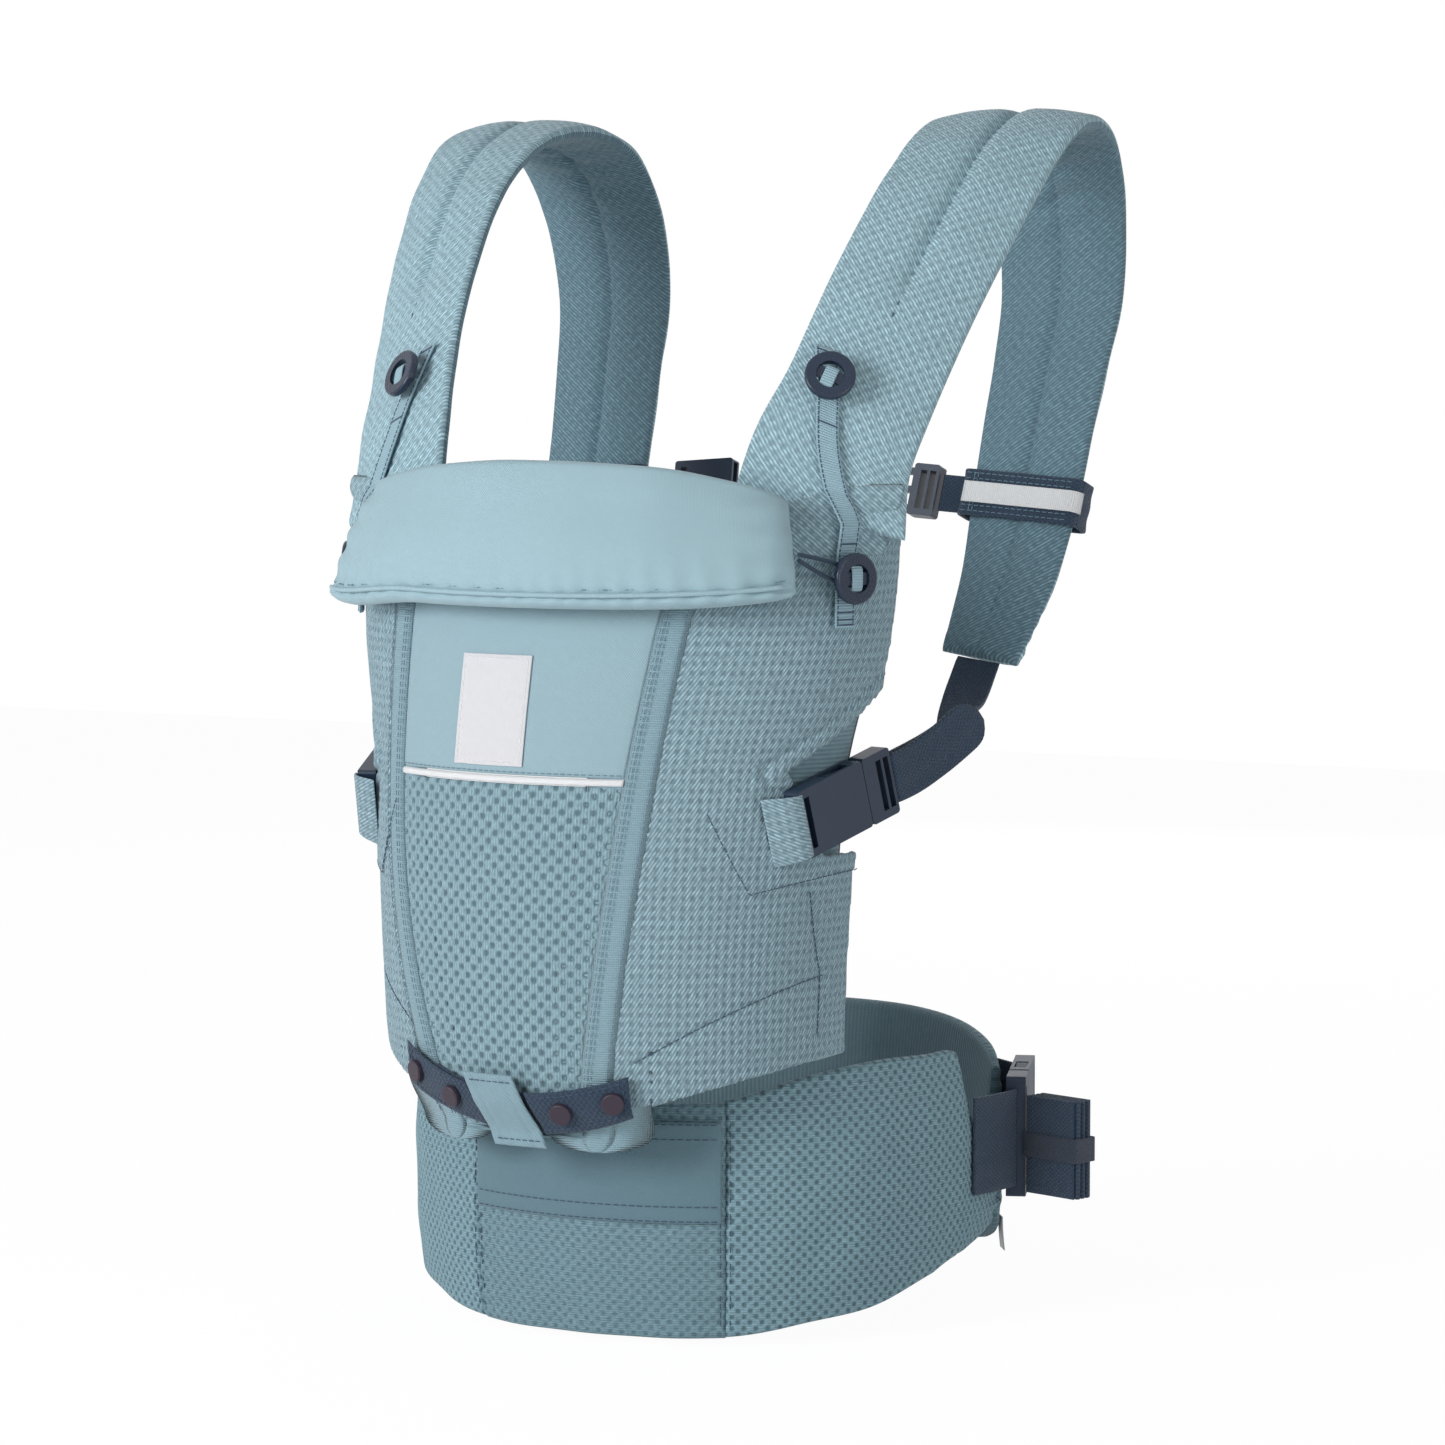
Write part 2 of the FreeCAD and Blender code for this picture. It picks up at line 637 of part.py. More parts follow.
def buckle_parts(size):
    width, thick = size["width"], size["thick"]
    female_length, male_length, web = size["female"], size["male"], size["web"]
    half, half_thick = width / 2, thick / 2
    wall = buckle_wall
    bar = wall * 2
    slot = wall * 2
    tail = buckle_tail()
    body = Part.makeBox(female_length + tail, width, thick, V(-tail, -half, -half_thick))
    body = body.makeFillet(thick / 5, [e for e in body.Edges if abs(e.Length - thick) < seam_gap])
    cavity = Part.makeBox(female_length, width - 2 * wall, thick - 2 * wall,
                          V(bar, -half + wall, -half_thick + wall))
    web_slot = Part.makeBox(slot, web + 2 * buckle_play, thick * 2,
                            V(-bar / 2 - slot, -web / 2 - buckle_play, -thick))
    window_low = female_length * 0.36
    window_high = female_length * 0.80
    window = Part.makeBox(window_high - window_low, width * 2, thick - 2 * wall,
                          V(window_low, -width, -half_thick + wall))
    female = body.cut(cavity).cut(web_slot).cut(window)

    base_x = female_length + buckle_play
    base = Part.makeBox(male_length, width, thick, V(base_x, -half, -half_thick))
    base = base.makeFillet(thick / 5, [e for e in base.Edges if abs(e.Length - thick) < seam_gap])
    for number in (0, 1):
        start = base_x + male_length - (bar / 2 + slot) - number * (bar / 2 + slot)
        base = base.cut(Part.makeBox(slot, web + 2 * buckle_play, thick * 2,
                                     V(start, -web / 2 - buckle_play, -thick)))
    tongue_length = female_length * 0.6
    inner_thick = thick - 2 * wall - 2 * buckle_play
    tongue = Part.makeBox(tongue_length + buckle_play, wall * 2, inner_thick,
                          V(base_x - tongue_length, -wall, -inner_thick / 2))
    male = base.fuse(tongue)

    pivot_x = base_x - seam_gap - wall
    inner_y = half - wall
    arm_y = inner_y - buckle_play
    pivot_y = arm_y - wall
    slope = math.radians(latch_angle) / latch_travel * (pivot_x - window_low) * ramp_share
    ramp_low = window_low + buckle_play
    ramp_high = window_high - buckle_play
    rise = min((ramp_high - ramp_low) * slope + buckle_play, buckle_play + wall * 0.9)
    outline = [(pivot_x, arm_y), (ramp_high, arm_y), (ramp_low + wall, arm_y + rise),
               (ramp_low, arm_y), (ramp_low, arm_y - wall * 2), (pivot_x, arm_y - wall * 2)]
    arms = []
    roots = []
    for sign in (1, -1):
        corners = [V(x, sign * y, -inner_thick / 2) for x, y in outline]
        arm = Part.Face(Part.makePolygon(corners + corners[:1])).extrude(V(0, 0, inner_thick))
        knuckle = Part.makeCylinder(wall, inner_thick, V(pivot_x, sign * pivot_y, -inner_thick / 2))
        arms.append(arm.fuse(knuckle))
        low_y = min(sign * pivot_y, sign * arm_y)
        roots.append(Part.makeBox(base_x + wall - pivot_x, wall, inner_thick,
                                  V(pivot_x, low_y, -inner_thick / 2)))
    return {"female": female, "male": male, "arm_a": arms[0], "arm_b": arms[1], "roots": roots,
            "pivot": (pivot_x, pivot_y), "end_x": base_x + male_length, "start_x": -tail}


def placed(shape, origin, along, across, out):
    frame = FreeCAD.Matrix(along.x, across.x, out.x, origin.x,
                           along.y, across.y, out.y, origin.y,
                           along.z, across.z, out.z, origin.z, 0, 0, 0, 1)
    moved = shape.copy()
    moved.transformShape(frame)
    return moved


def side_buckle_frame():
    turn, rise = math.radians(side_buckle_turn), math.radians(side_buckle_rise)
    along = V(math.cos(turn) * math.cos(rise), math.sin(turn) * math.cos(rise), math.sin(rise))
    out = V(math.sin(turn), -math.cos(turn), 0)
    across = out.cross(along)
    return side_buckle_start, along, across, out


def waist_buckle_frame():
    turn = math.radians(waist_buckle_angle)
    along = V(-math.cos(turn), -math.sin(turn), 0)
    out = V(math.sin(turn), -math.cos(turn), 0)
    across = out.cross(along)
    length = waist_buckle["female"] + waist_buckle["male"]
    radius = belt_radius + belt_thick / 2 + seam_gap + waist_buckle["thick"] / 2
    centre = ring_point(waist_buckle_angle, radius, waist_web_z)
    return centre - along * (length / 2), along, across, out


def print_frame(name, origin, along, across, out, parts):
    x, y = parts["pivot"]
    for label, sign in (("a", 1), ("b", -1)):
        pivot = place_point(origin, along, across, out, x, sign * y, 0)
        print("PIVOT", name, label, tuple(pivot), tuple(out))
    print("SLIDE", name, tuple(origin), tuple(along))


def make_buckles():
    parts = buckle_parts(side_buckle)
    origin, along, across, out = side_buckle_frame()
    for name, side in SIDES:
        for label, node in (("female", "side_buckle_female_"), ("male", "side_buckle_male_"),
                            ("arm_a", "side_buckle_upper_arm_"),
                            ("arm_b", "side_buckle_lower_arm_")):
            save(node + name, mirrored(placed(parts[label], origin, along, across, out), side))
    print_frame("side", origin, along, across, out, parts)
    make_strap_webbing(parts, origin, along, across, out)
    parts = buckle_parts(waist_buckle)
    origin, along, across, out = waist_buckle_frame()
    for label, node in (("female", "waist_buckle_female"), ("male", "waist_buckle_male"),
                        ("arm_a", "waist_buckle_lower_arm"),
                        ("arm_b", "waist_buckle_upper_arm")):
        save(node, placed(parts[label], origin, along, across, out))
    print_frame("waist", origin, along, across, out, parts)
    make_waist_webbing(parts, origin, along, across, out)


def ribbon_wire(centre, across, out, width, thick):
    spots = ((-1, -1), (1, -1), (1, 1), (-1, 1), (-1, -1))
    return Part.makePolygon([centre + across * (a * width / 2) + out * (b * thick / 2)
                             for a, b in spots])


def ribbon(places, width, thick, straight=False):
    # Places of the ribbon's centre line, each with the direction across the ribbon
    wires = []
    last = len(places) - 1
    for i, (centre, across) in enumerate(places):
        tangent = places[min(i + 1, last)][0] - places[max(i - 1, 0)][0]
        tangent.normalize()
        side = across - tangent * across.dot(tangent)
        side.normalize()
        wires.append(ribbon_wire(centre, side, side.cross(tangent), width, thick))
    return loft(wires, straight)


def make_strap_webbing(parts, origin, along, across, out):
    web = side_buckle["web"]
    last, across_end, _, tangent, _ = strap_station(len(strap_places) - 1)
    start = place_point(origin, along, across, out, parts["end_x"] + web_gap, 0, 0)
    finish = last + tangent * web_gap
    reach = (finish - start).Length / 3
    knots = (start, start + along * reach, finish + tangent * reach, finish)
    places = []
    for step in range(web_steps + 1):
        share = step / web_steps
        rest = 1 - share
        centre = (knots[0] * rest ** 3 + knots[1] * (3 * rest ** 2 * share)
                  + knots[2] * (3 * rest * share ** 2) + knots[3] * share ** 3)
        twist = (share - twist_start_share) / (twist_end_share - twist_start_share)
        twist = max(0.0, min(1.0, twist))
        places.append((centre, across * (1 - twist) + across_end * twist))
    webbing = ribbon(places, web, web_thick, True)
    tail_start = start + out * (side_buckle["thick"] / 2 - web_thick / 2)
    tail_places = [(tail_start + along * a + out * o + UP * r, across)
                   for a, o, r in zip(tail_alongs, tail_outs, tail_rises)]
    tail = ribbon(tail_places, web, web_thick)
    # The anchor goes from the female half into the slit and is sewn in at the slit's end
    anchor = Part.makeBox(anchor_length, web, web_thick,
                          V(parts["start_x"] - web_gap - anchor_length, -web / 2, -web_thick / 2))
    anchor = placed(anchor, origin, along, across, out)
    for name, side in SIDES:
        save("strap_webbing_" + name, mirrored(webbing, side))
        save("strap_webbing_tail_" + name, mirrored(tail, side))
    save("side_buckle_anchors", both_sides(anchor))


def make_waist_webbing(parts, origin, along, across, out):
    web = waist_buckle["web"]
    z = waist_web_z
    # Right side: from the end of the padded wing to the male half
    start = place_point(origin, along, across, out, parts["end_x"] + web_gap, 0, 0)
    wing_turn = belt_wing_angle - math.degrees(web / belt_radius)
    finish = ring_point(wing_turn, belt_radius + belt_thick / 2 + seam_gap + web_thick / 2, z)
    middle = (start + finish) * 0.5 + out * web_thick
    save("waist_webbing_right", ribbon([(start, UP), (middle, UP), (finish, UP)], web, web_thick))
    # From the female half round the back of the lumbar pad to the end of the left wing
    start = place_point(origin, along, across, out, parts["start_x"] - web_gap, 0, 0)
    first = lumbar_angle + math.degrees(web / belt_radius)
    last = 360 - belt_wing_angle + math.degrees(web / belt_radius)
    places = [(start, UP)]
    for step in range(belt_steps + 1):
        angle = first + (last - first) * step / belt_steps
        places.append((ring_point(angle, waist_web_radius(), z), UP))
    save("waist_webbing_back", ribbon(places, web, web_thick))
    make_roll(parts, origin, along, across, out)


def make_roll(parts, origin, along, across, out):
    # The spare webbing, folded back and forth in one unbroken ribbon and held by an elastic
    web = waist_buckle["web"]
    half = roll_length / 2
    inner = roll_pitch / 2 - roll_web_thick / 2
    outer = roll_pitch / 2 + roll_web_thick / 2
    left = -roll_pitch * (roll_turns - 1) / 2
    pieces = []
    for turn in range(roll_turns):
        x = left + turn * roll_pitch
        pieces.append(Part.makeBox(roll_web_thick, roll_length, web,
                                   V(x - roll_web_thick / 2, -half, -web / 2)))
        if turn < roll_turns - 1:
            y = half if turn % 2 == 0 else -half
            centre = V(x + roll_pitch / 2, y, -web / 2)
            bend = Part.makeCylinder(outer, web, centre).cut(Part.makeCylinder(inner, web, centre))
            keep_y = y if turn % 2 == 0 else y - outer
            keep = Part.makeBox(outer * 2, outer, web, V(centre.x - outer, keep_y, -web / 2))
            pieces.append(bend.common(keep))
    shape = pieces[0].fuse(pieces[1:]).removeSplitter()
    print("ROLL gap", inner * 2)
    lean = math.radians(roll_lean)
    leaf_along = along * math.cos(lean) + out * math.sin(lean)
    leaf_out = leaf_along.cross(UP)
    middle = parts["end_x"] - waist_buckle["male"] / 2
    place = place_point(origin, along, across, out, middle + roll_ahead, 0, roll_out)
    place = place - UP * roll_drop
    save("waist_webbing_roll", placed(shape, place, leaf_out, leaf_along * -1, UP))
    loop_out = roll_pitch * (roll_turns - 1) + roll_web_thick + 2 * seam_gap
    loop_length = roll_length + 2 * (outer + seam_gap)
    cloth = elastic_cloth
    ring = Part.makeBox(loop_out + 2 * cloth, loop_length + 2 * cloth, web / 4,
                        V(-loop_out / 2 - cloth, -loop_length / 2 - cloth, -web / 8))
    hole = Part.makeBox(loop_out, loop_length, web, V(-loop_out / 2, -loop_length / 2, -web / 2))
    save("roll_elastic", placed(ring.cut(hole), place, leaf_out, leaf_along * -1, UP))
    print("ROLL", tuple(place), tuple(leaf_along))


def make_keepers():
    centre, across, out, tangent, _ = strap_station(keeper_place)
    centre = centre + tangent * keeper_drop
    width = strap_width * strap_width_shares[keeper_place - 1] + 2 * (strap_edge_bulge + keeper_play)
    thick = strap_thick + 2 * keeper_play
    outer = Part.makeBox(width + 2 * keeper_thick, thick + 2 * keeper_thick, keeper_height,
                         V(-width / 2 - keeper_thick, -thick / 2 - keeper_thick, -keeper_height / 2))
    outer = outer.makeFillet(thick / 4, [e for e in outer.Edges
                                         if abs(e.Length - keeper_height) < seam_gap])
    inner = Part.makeBox(width, thick, keeper_height * 2, V(-width / 2, -thick / 2, -keeper_height))
    tail = Part.makeBox(keeper_tail, web_thick, chest_buckle["web"],
                        V(-width / 2 - keeper_thick - keeper_tail, -web_thick / 2,
                          -chest_buckle["web"] / 2))
    strip = Part.makeBox(width * 0.8, label_thick, keeper_height * 0.45,
                         V(-width * 0.4, thick / 2 + keeper_thick + seam_gap,
                           -keeper_height * 0.22))
    band = Part.makeCompound([outer.cut(inner).fuse(tail), strip])
    parts = buckle_parts(chest_buckle)
    end_x = -width / 2 - keeper_thick - keeper_tail - seam_gap
    for name, side in SIDES:
        save("keeper_band_" + name, mirrored(placed(band, centre, across, out * -1, tangent), side))
    spot = place_point(centre, across, out, tangent, end_x, 0, 0)
    male = parts["male"].fuse([parts["arm_a"], parts["arm_b"]] + parts["roots"])
    male.translate(V(-parts["end_x"], 0, 0))
    save("chest_buckle_male", placed(male, spot, across, tangent, out))
    female = parts["female"]
    female.translate(V(-parts["start_x"], 0, 0))
    save("chest_buckle_female", mirrored(placed(female, spot, across * -1, tangent, out * -1), -1))
    print("KEEPER", tuple(centre), tuple(tangent))


def strap_surface(z):
    # Centre, across and outward directions of the strap's front leg at a height
    low, high = 0.0, 4.0
    while high - low > seam_gap / strap_width:
        middle = (low + high) / 2
        if strap_station(middle)[0].z < z:
            low = middle
        else:
            high = middle
    return strap_station(low)[:4]


def strap_face(z, inset, lift):
    # A point above the strap's crowned outer face, and the directions there
    centre, across, out, _ = strap_surface(z)
    crown = (strap_thick - strap_edge_thick) / 2
    rise = strap_thick / 2 - crown * (inset / (strap_width / 2)) ** 2
    return centre - across * inset + out * (rise + lift), across, out


def button_solid():
    disc = Part.makeCylinder(button_radius, button_thick)
    disc = disc.makeFillet(button_thick / 3, [disc.Edges[0], disc.Edges[2]])
    hole = Part.makeCylinder(button_hole, button_thick * 2, V(0, 0, -button_thick / 2))
    cross = Part.makeBox(button_hole * 2, button_cross, button_cross_thick,
                         V(-button_hole, -button_cross / 2, button_thick * 0.3))
    shank = Part.makeCylinder(shank_radius, shank_length + button_thick * 0.4, V(0, 0, -shank_length))
    return disc.cut(hole).fuse(cross).fuse(shank)


def tape_place(z, lift):
    # The tape runs down the strap's face and on over the side of the panel
    seam_z = strap_places[0].z
    lift += tape_hump * max(0.0, 1 - abs(z - seam_z) / tape_blend)
    turn = panel_turn(z, lower_button_x)
    out = V(math.sin(turn), -math.cos(turn), 0)
    spot, across = panel_point(z, turn, lift), V(math.cos(turn), math.sin(turn), 0)
    if z > seam_z:
        share = (upper_button_z - z) / (upper_button_z - seam_z)
        inset = button_inset + (seam_inset - button_inset) * share
        blend = min(1.0, (z - seam_z) / tape_blend)
        upper = strap_face(z, inset, lift)
        spot, across, out = [a * (1 - blend) + b * blend
                             for a, b in zip((spot, across, out), upper)]
        across.normalize()
        out = (out - across * out.dot(across)).normalize()
    return spot, across, out


def make_buttons():
    button = button_solid()
    seat = tape_gap + tape_thick + seam_gap + shank_length
    tape = []
    for step in range(tape_steps + 1):
        z = tape_bottom_z + (tape_top_z - tape_bottom_z) * step / tape_steps
        spot, across, _ = tape_place(z, tape_gap + tape_thick / 2)
        tape.append((spot, across))
    uppers, lowers = [], []
    for z, group in ((upper_button_z, uppers), (lower_button_z, lowers)):
        spot, across, out = tape_place(z, seat)
        solid = placed(button, spot, across, out.cross(across), out)
        group += [mirrored(solid, side) for name, side in SIDES]
        print("BUTTON", tuple(spot), tuple(across), tuple(out))
    save("button_tapes", both_sides(ribbon(tape, tape_width, tape_thick, True)))
    save("upper_buttons", Part.makeCompound(uppers))
    save("lower_buttons", Part.makeCompound(lowers))
    make_elastic_loops()


def touching_point(centre, radius, outside, sign, axis):
    # Where a line from an outside point touches the circle, on the side that sign picks
    to_point = outside - centre
    reach = to_point.Length
    to_point.normalize()
    sideways = axis.cross(to_point)
    turn = math.acos(radius / reach)
    return centre + (to_point * math.cos(turn) + sideways * (sign * math.sin(turn))) * radius


def make_elastic_loops():
    # A cord sewn into the pillow's end, hooked round the shank of the lower button
    base, across, out = tape_place(lower_button_z, tape_gap + tape_thick + seam_gap + shank_length / 2)
    end = base - across * elastic_reach + UP * elastic_lift
    radius = shank_radius + elastic_radius + seam_gap
    strands = []
    for sign in (1, -1):
        sideways = out.cross(across) * (sign * (elastic_radius + seam_gap))
        start = end + sideways
        strands.append((start, touching_point(base, radius, start, -sign, out)))
    away = base - end
    away.normalize()
    far = base + (away - out * away.dot(out)).normalize() * radius
    path = Part.Wire([line(*strands[0]), arc(strands[0][1], far, strands[1][1]),
                      line(strands[1][1], strands[1][0])])
    first = strands[0][1] - strands[0][0]
    section = Part.Wire(Part.makeCircle(elastic_radius, strands[0][0], first))
    tube = path.makePipeShell([section], True, False)
    save("head_support_loops", both_sides(tube))
    print("ELASTIC length", path.Length, "end", tuple(end))


def band_height(x):
    return adjuster_middle_z + adjuster_rise * (x / adjuster_curve_length) ** 2


def band_section(x, lean, out, width, thick):
    # Points of a band that follows the panel's lower front, at one place along it
    faces = ([], [])
    middle_z = band_height(x)
    for share in (-1, 0, 1):
        rise = share * width / 2
        z = middle_z + rise
        place_x = x + lean * rise
        for face, level in zip(faces, (out + thick, out)):
            face.append(V(place_x, panel_point(z, panel_turn(z, place_x), level).y, z))
    return faces


def front_band(x_low, x_high, lean, out, width, thick):
    wires = []
    for step in range(adjuster_steps + 1):
        share = step / adjuster_steps
        x = x_low + (x_high - x_low) * share
        front, back = band_section(x, lean * (1 - share), out, width, thick)
        points = front + back[::-1]
        wires.append(Part.makePolygon(points + points[:1]))
    return loft(wires, True)


def loop_lean():
    return (loop_top_x - loop_bottom_x) / (loop_top_z - loop_bottom_z)


def loop_middle_x(z):
    return loop_bottom_x + loop_lean() * (z - loop_bottom_z)


def make_adjusters():
    base_out = band_cloth / 2 + 2 * seam_gap
    save("adjuster_base", front_band(-adjuster_half_length, adjuster_half_length, 0, base_out,
                                     adjuster_width, adjuster_cloth))
    tab_out = base_out + adjuster_cloth + 2 * seam_gap
    for name, side in SIDES:
        half = loop_width / 2 + tab_gap
        inner_x = loop_middle_x(band_height(loop_middle_x(adjuster_middle_z) + side * half))
        inner_x += side * half
        outer_x = tab_outer_x[name]
        tab = front_band(inner_x, outer_x, loop_lean(), tab_out, adjuster_width, adjuster_cloth)
        caps = []
        for x in snap_places_x[name]:
            faces = [band_section(x + step, 0, tab_out, adjuster_width, adjuster_cloth)[0]
                     for step in (-snap_radius, 0, snap_radius)]
            upward = faces[1][2] - faces[1][0]
            normal = (faces[2][1] - faces[0][1]).cross(upward).normalize()
            cap = Part.makeCylinder(snap_radius, snap_thick, faces[1][1] + normal * seam_gap, normal)
            caps.append(cap.makeFillet(snap_thick / 3, [cap.Edges[0]]))
        save("adjuster_tab_" + name, tab)
        save("adjuster_snaps_" + name, Part.makeCompound(caps))
        front, back = band_section(inner_x, loop_lean(), tab_out, adjuster_width, adjuster_cloth)
        print("TAB hinge", name, tuple(front[1]), tuple((front[2] - front[0]).normalize()))
    wires = []
    for step in range(loop_steps + 1):
        z = loop_bottom_z + (loop_top_z - loop_bottom_z) * step / loop_steps
        middle = loop_middle_x(z)
        wires.append(panel_wire(z, middle - loop_width / 2, middle + loop_width / 2,
                                tab_out + adjuster_cloth, adjuster_cloth, 1))
    save("centre_loop", loft(wires, True))


def make_care_tag():
    # A folded tag that hangs from the seam at the pad's end, on its outer face
    first = lumbar_angle + math.degrees(tape_width / 2 / belt_radius)
    inner = belt_radius + lumbar_edge_thick / 2
    high = lumbar_bottom + lumbar_end_drop * tag_top_share
    wires = []
    for angle in (first, first + math.degrees(tape_width / belt_radius)):
        spots = ((inner, high), (inner + label_thick, high), (inner + label_thick, high - tag_length),
                 (inner, high - tag_length), (inner, high))
        wires.append(Part.makePolygon([ring_point(angle, r, z) for r, z in spots]))
    save("care_tag", loft(wires, True))


def make_part():
    os.makedirs("parts", exist_ok=True)
    make_panel()
    make_belt()
    make_straps()
    make_head_support()
    make_buckles()
    make_keepers()
    make_buttons()
    make_adjusters()
    make_care_tag()


make_part()
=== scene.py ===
import math

import bpy
import numpy as np
from mathutils import Matrix, Vector


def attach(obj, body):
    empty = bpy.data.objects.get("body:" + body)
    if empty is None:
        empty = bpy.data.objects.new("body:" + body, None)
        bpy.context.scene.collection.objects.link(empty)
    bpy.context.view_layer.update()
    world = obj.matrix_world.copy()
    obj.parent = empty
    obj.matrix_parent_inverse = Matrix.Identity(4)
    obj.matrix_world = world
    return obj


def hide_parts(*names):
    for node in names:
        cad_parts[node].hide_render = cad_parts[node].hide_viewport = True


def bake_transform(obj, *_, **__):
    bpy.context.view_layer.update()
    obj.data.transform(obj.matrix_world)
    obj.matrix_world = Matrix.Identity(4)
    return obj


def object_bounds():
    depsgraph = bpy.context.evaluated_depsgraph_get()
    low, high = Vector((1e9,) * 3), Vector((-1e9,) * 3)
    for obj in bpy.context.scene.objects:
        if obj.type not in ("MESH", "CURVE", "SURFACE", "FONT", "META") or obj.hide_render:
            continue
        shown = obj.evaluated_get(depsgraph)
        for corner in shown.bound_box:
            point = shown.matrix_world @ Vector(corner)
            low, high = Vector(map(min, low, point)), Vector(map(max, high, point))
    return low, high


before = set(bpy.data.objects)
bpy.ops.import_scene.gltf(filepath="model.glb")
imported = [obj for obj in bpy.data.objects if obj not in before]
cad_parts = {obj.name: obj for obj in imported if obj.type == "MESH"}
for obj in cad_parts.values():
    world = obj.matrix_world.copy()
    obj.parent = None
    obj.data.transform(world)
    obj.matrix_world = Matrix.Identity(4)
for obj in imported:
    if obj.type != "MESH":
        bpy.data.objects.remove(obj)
cad_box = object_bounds()

# The picture's view: a long lens a little to the right of the panel and slightly above it,
# aimed at the middle of the carrier, on a plain pale floor.
camera_place = Vector((1.1767, -2.1868, 0.4925))
camera_target = Vector((0.0607, -0.103, 0.300))
camera_up = Vector((-0.0377, 0.0708, 0.9968))
camera_lens = 119.6
camera_sensor = 36


def aimed(place, target, up=Vector((0, 0, 1))):
    back = (place - target).normalized()
    right = up.cross(back).normalized()
    turned = Matrix((right, back.cross(right), back)).transposed().to_4x4()
    return Matrix.Translation(place) @ turned


camera = bpy.data.objects.new("camera", bpy.data.cameras.new("camera"))
camera.data.lens = camera_lens
camera.data.sensor_width = camera_sensor
camera.data.clip_end = 20
camera.matrix_world = aimed(camera_place, camera_target, camera_up)
bpy.context.scene.collection.objects.link(camera)
bpy.context.scene.camera = camera
bpy.context.scene.view_settings.view_transform = "Standard"


class Signal:
    """One output of a material's nodes. Python's operators on it add the nodes of the sum."""

    def __init__(self, finish, socket):
        self.finish, self.socket = finish, socket

    def math(self, operation, *others):
        return self.finish.node("ShaderNodeMath", {"operation": operation}, self, *others)

    def __add__(self, other):
        return self.math("ADD", other)

    def __sub__(self, other):
        return self.math("SUBTRACT", other)

    def __mul__(self, other):
        return self.math("MULTIPLY", other)

    def __truediv__(self, other):
        return self.math("DIVIDE", other)

    def __rsub__(self, other):
        return (self * -1) + other

    __radd__, __rmul__ = __add__, __mul__


class Finish:
    """A material: a Principled shader and the nodes that feed it."""

    def __init__(self, name, **fixed):
        self.material = bpy.data.materials.new(name)
        self.material.use_nodes = True
        self.nodes = self.material.node_tree.nodes
        self.links = self.material.node_tree.links
        self.shader = self.nodes["Principled BSDF"]
        self.feed(**fixed)

    def node(self, kind, settings, *values, out=0, **named):
        made = self.nodes.new(kind)
        for key, value in settings.items():
            setattr(made, key, value)
        for key, value in [*enumerate(values), *named.items()]:
            self.join(made.inputs[key if isinstance(key, int) else key.replace("_", " ")], value)
        return Signal(self, made.outputs[out])

    def join(self, socket, value):
        if isinstance(value, Signal):
            self.links.new(value.socket, socket)
        elif hasattr(value, "__len__") and len(value) == 3 and len(socket.default_value) == 4:
            socket.default_value = (*value, 1)
        else:
            socket.default_value = value

    def feed(self, **named):
        for key, value in named.items():
            self.join(self.shader.inputs[key.replace("_", " ")], value)

    def mix(self, share, first, second):
        made = self.nodes.new("ShaderNodeMix")
        made.data_type = "RGBA"
        for number, value in ((0, share), (6, first), (7, second)):
            self.join(made.inputs[number], value)
        return Signal(self, made.outputs[2])

    def threads(self):
        # The cloth's own coordinates in metres: across and along the weave
        weave = self.nodes.new("ShaderNodeAttribute")
        weave.attribute_name = "weave"
        parts = self.nodes.new("ShaderNodeSeparateXYZ")
        self.links.new(weave.outputs["Vector"], parts.inputs[0])
        return Signal(self, parts.outputs[0]), Signal(self, parts.outputs[1])

    def cloud(self, scale, detail=2.0):
        place = self.node("ShaderNodeTexCoord", {}, out=3)
        return self.node("ShaderNodeTexNoise", {}, Vector=place, Scale=scale, Detail=detail)

    def streaks(self, turn, fine, long, low=0.36, high=0.64):
        # Short threads of uneven tone that lie at an angle to the weave
        u, v = self.threads()
        side, ahead = math.cos(turn), math.sin(turn)
        place = self.node("ShaderNodeCombineXYZ", {}, (u * side - v * ahead) / fine,
                          (u * ahead + v * side) / long, 0.0)
        noise = self.node("ShaderNodeTexNoise", {}, Vector=place, Scale=1.0, Detail=1.5)
        return self.node("ShaderNodeMapRange", {}, noise, low, high, 0.0, 1.0)

    def raise_by(self, height, distance, strength=1.0):
        self.feed(Normal=self.node("ShaderNodeBump", {}, Height=height, Distance=distance,
                                   Strength=strength))


# The floor and the light: a pale seamless sheet, one large soft lamp from the upper left front, a
# weaker one from the right, a faint one from behind, and an even white room that is dimmer as a
# light than it looks.
floor_size = 6.0
floor_drop = 0.004
floor_glow = 1.024
seen_share = 0.93
room_light = 0.34
mesh = bpy.data.meshes.new("floor")
half = floor_size / 2
floor_z = cad_box[0][2] - floor_drop
mesh.from_pydata([(-half, -half, floor_z), (half, -half, floor_z), (half, half, floor_z),
                  (-half, half, floor_z)], [], [(0, 1, 2, 3)])
floor = bpy.data.objects.new("floor", mesh)
bpy.context.scene.collection.objects.link(floor)
paper = Finish("floor_paper", Roughness=0.9)
paper.feed(Base_Color=paper.mix(paper.cloud(3.0) * 0.06, (0.93, 0.93, 0.93), (0.88, 0.88, 0.89)))
output = paper.nodes["Material Output"]
glow = paper.nodes.new("ShaderNodeEmission")
glow.inputs["Color"].default_value = (1, 1, 1, 1)
glow.inputs["Strength"].default_value = floor_glow
blend = paper.nodes.new("ShaderNodeMixShader")
seen = paper.nodes.new("ShaderNodeLightPath")
direct = (Signal(paper, seen.outputs["Is Camera Ray"])
          + Signal(paper, seen.outputs["Is Glossy Ray"])) * seen_share
paper.links.new(direct.socket, blend.inputs[0])
paper.links.new(paper.shader.outputs[0], blend.inputs[1])
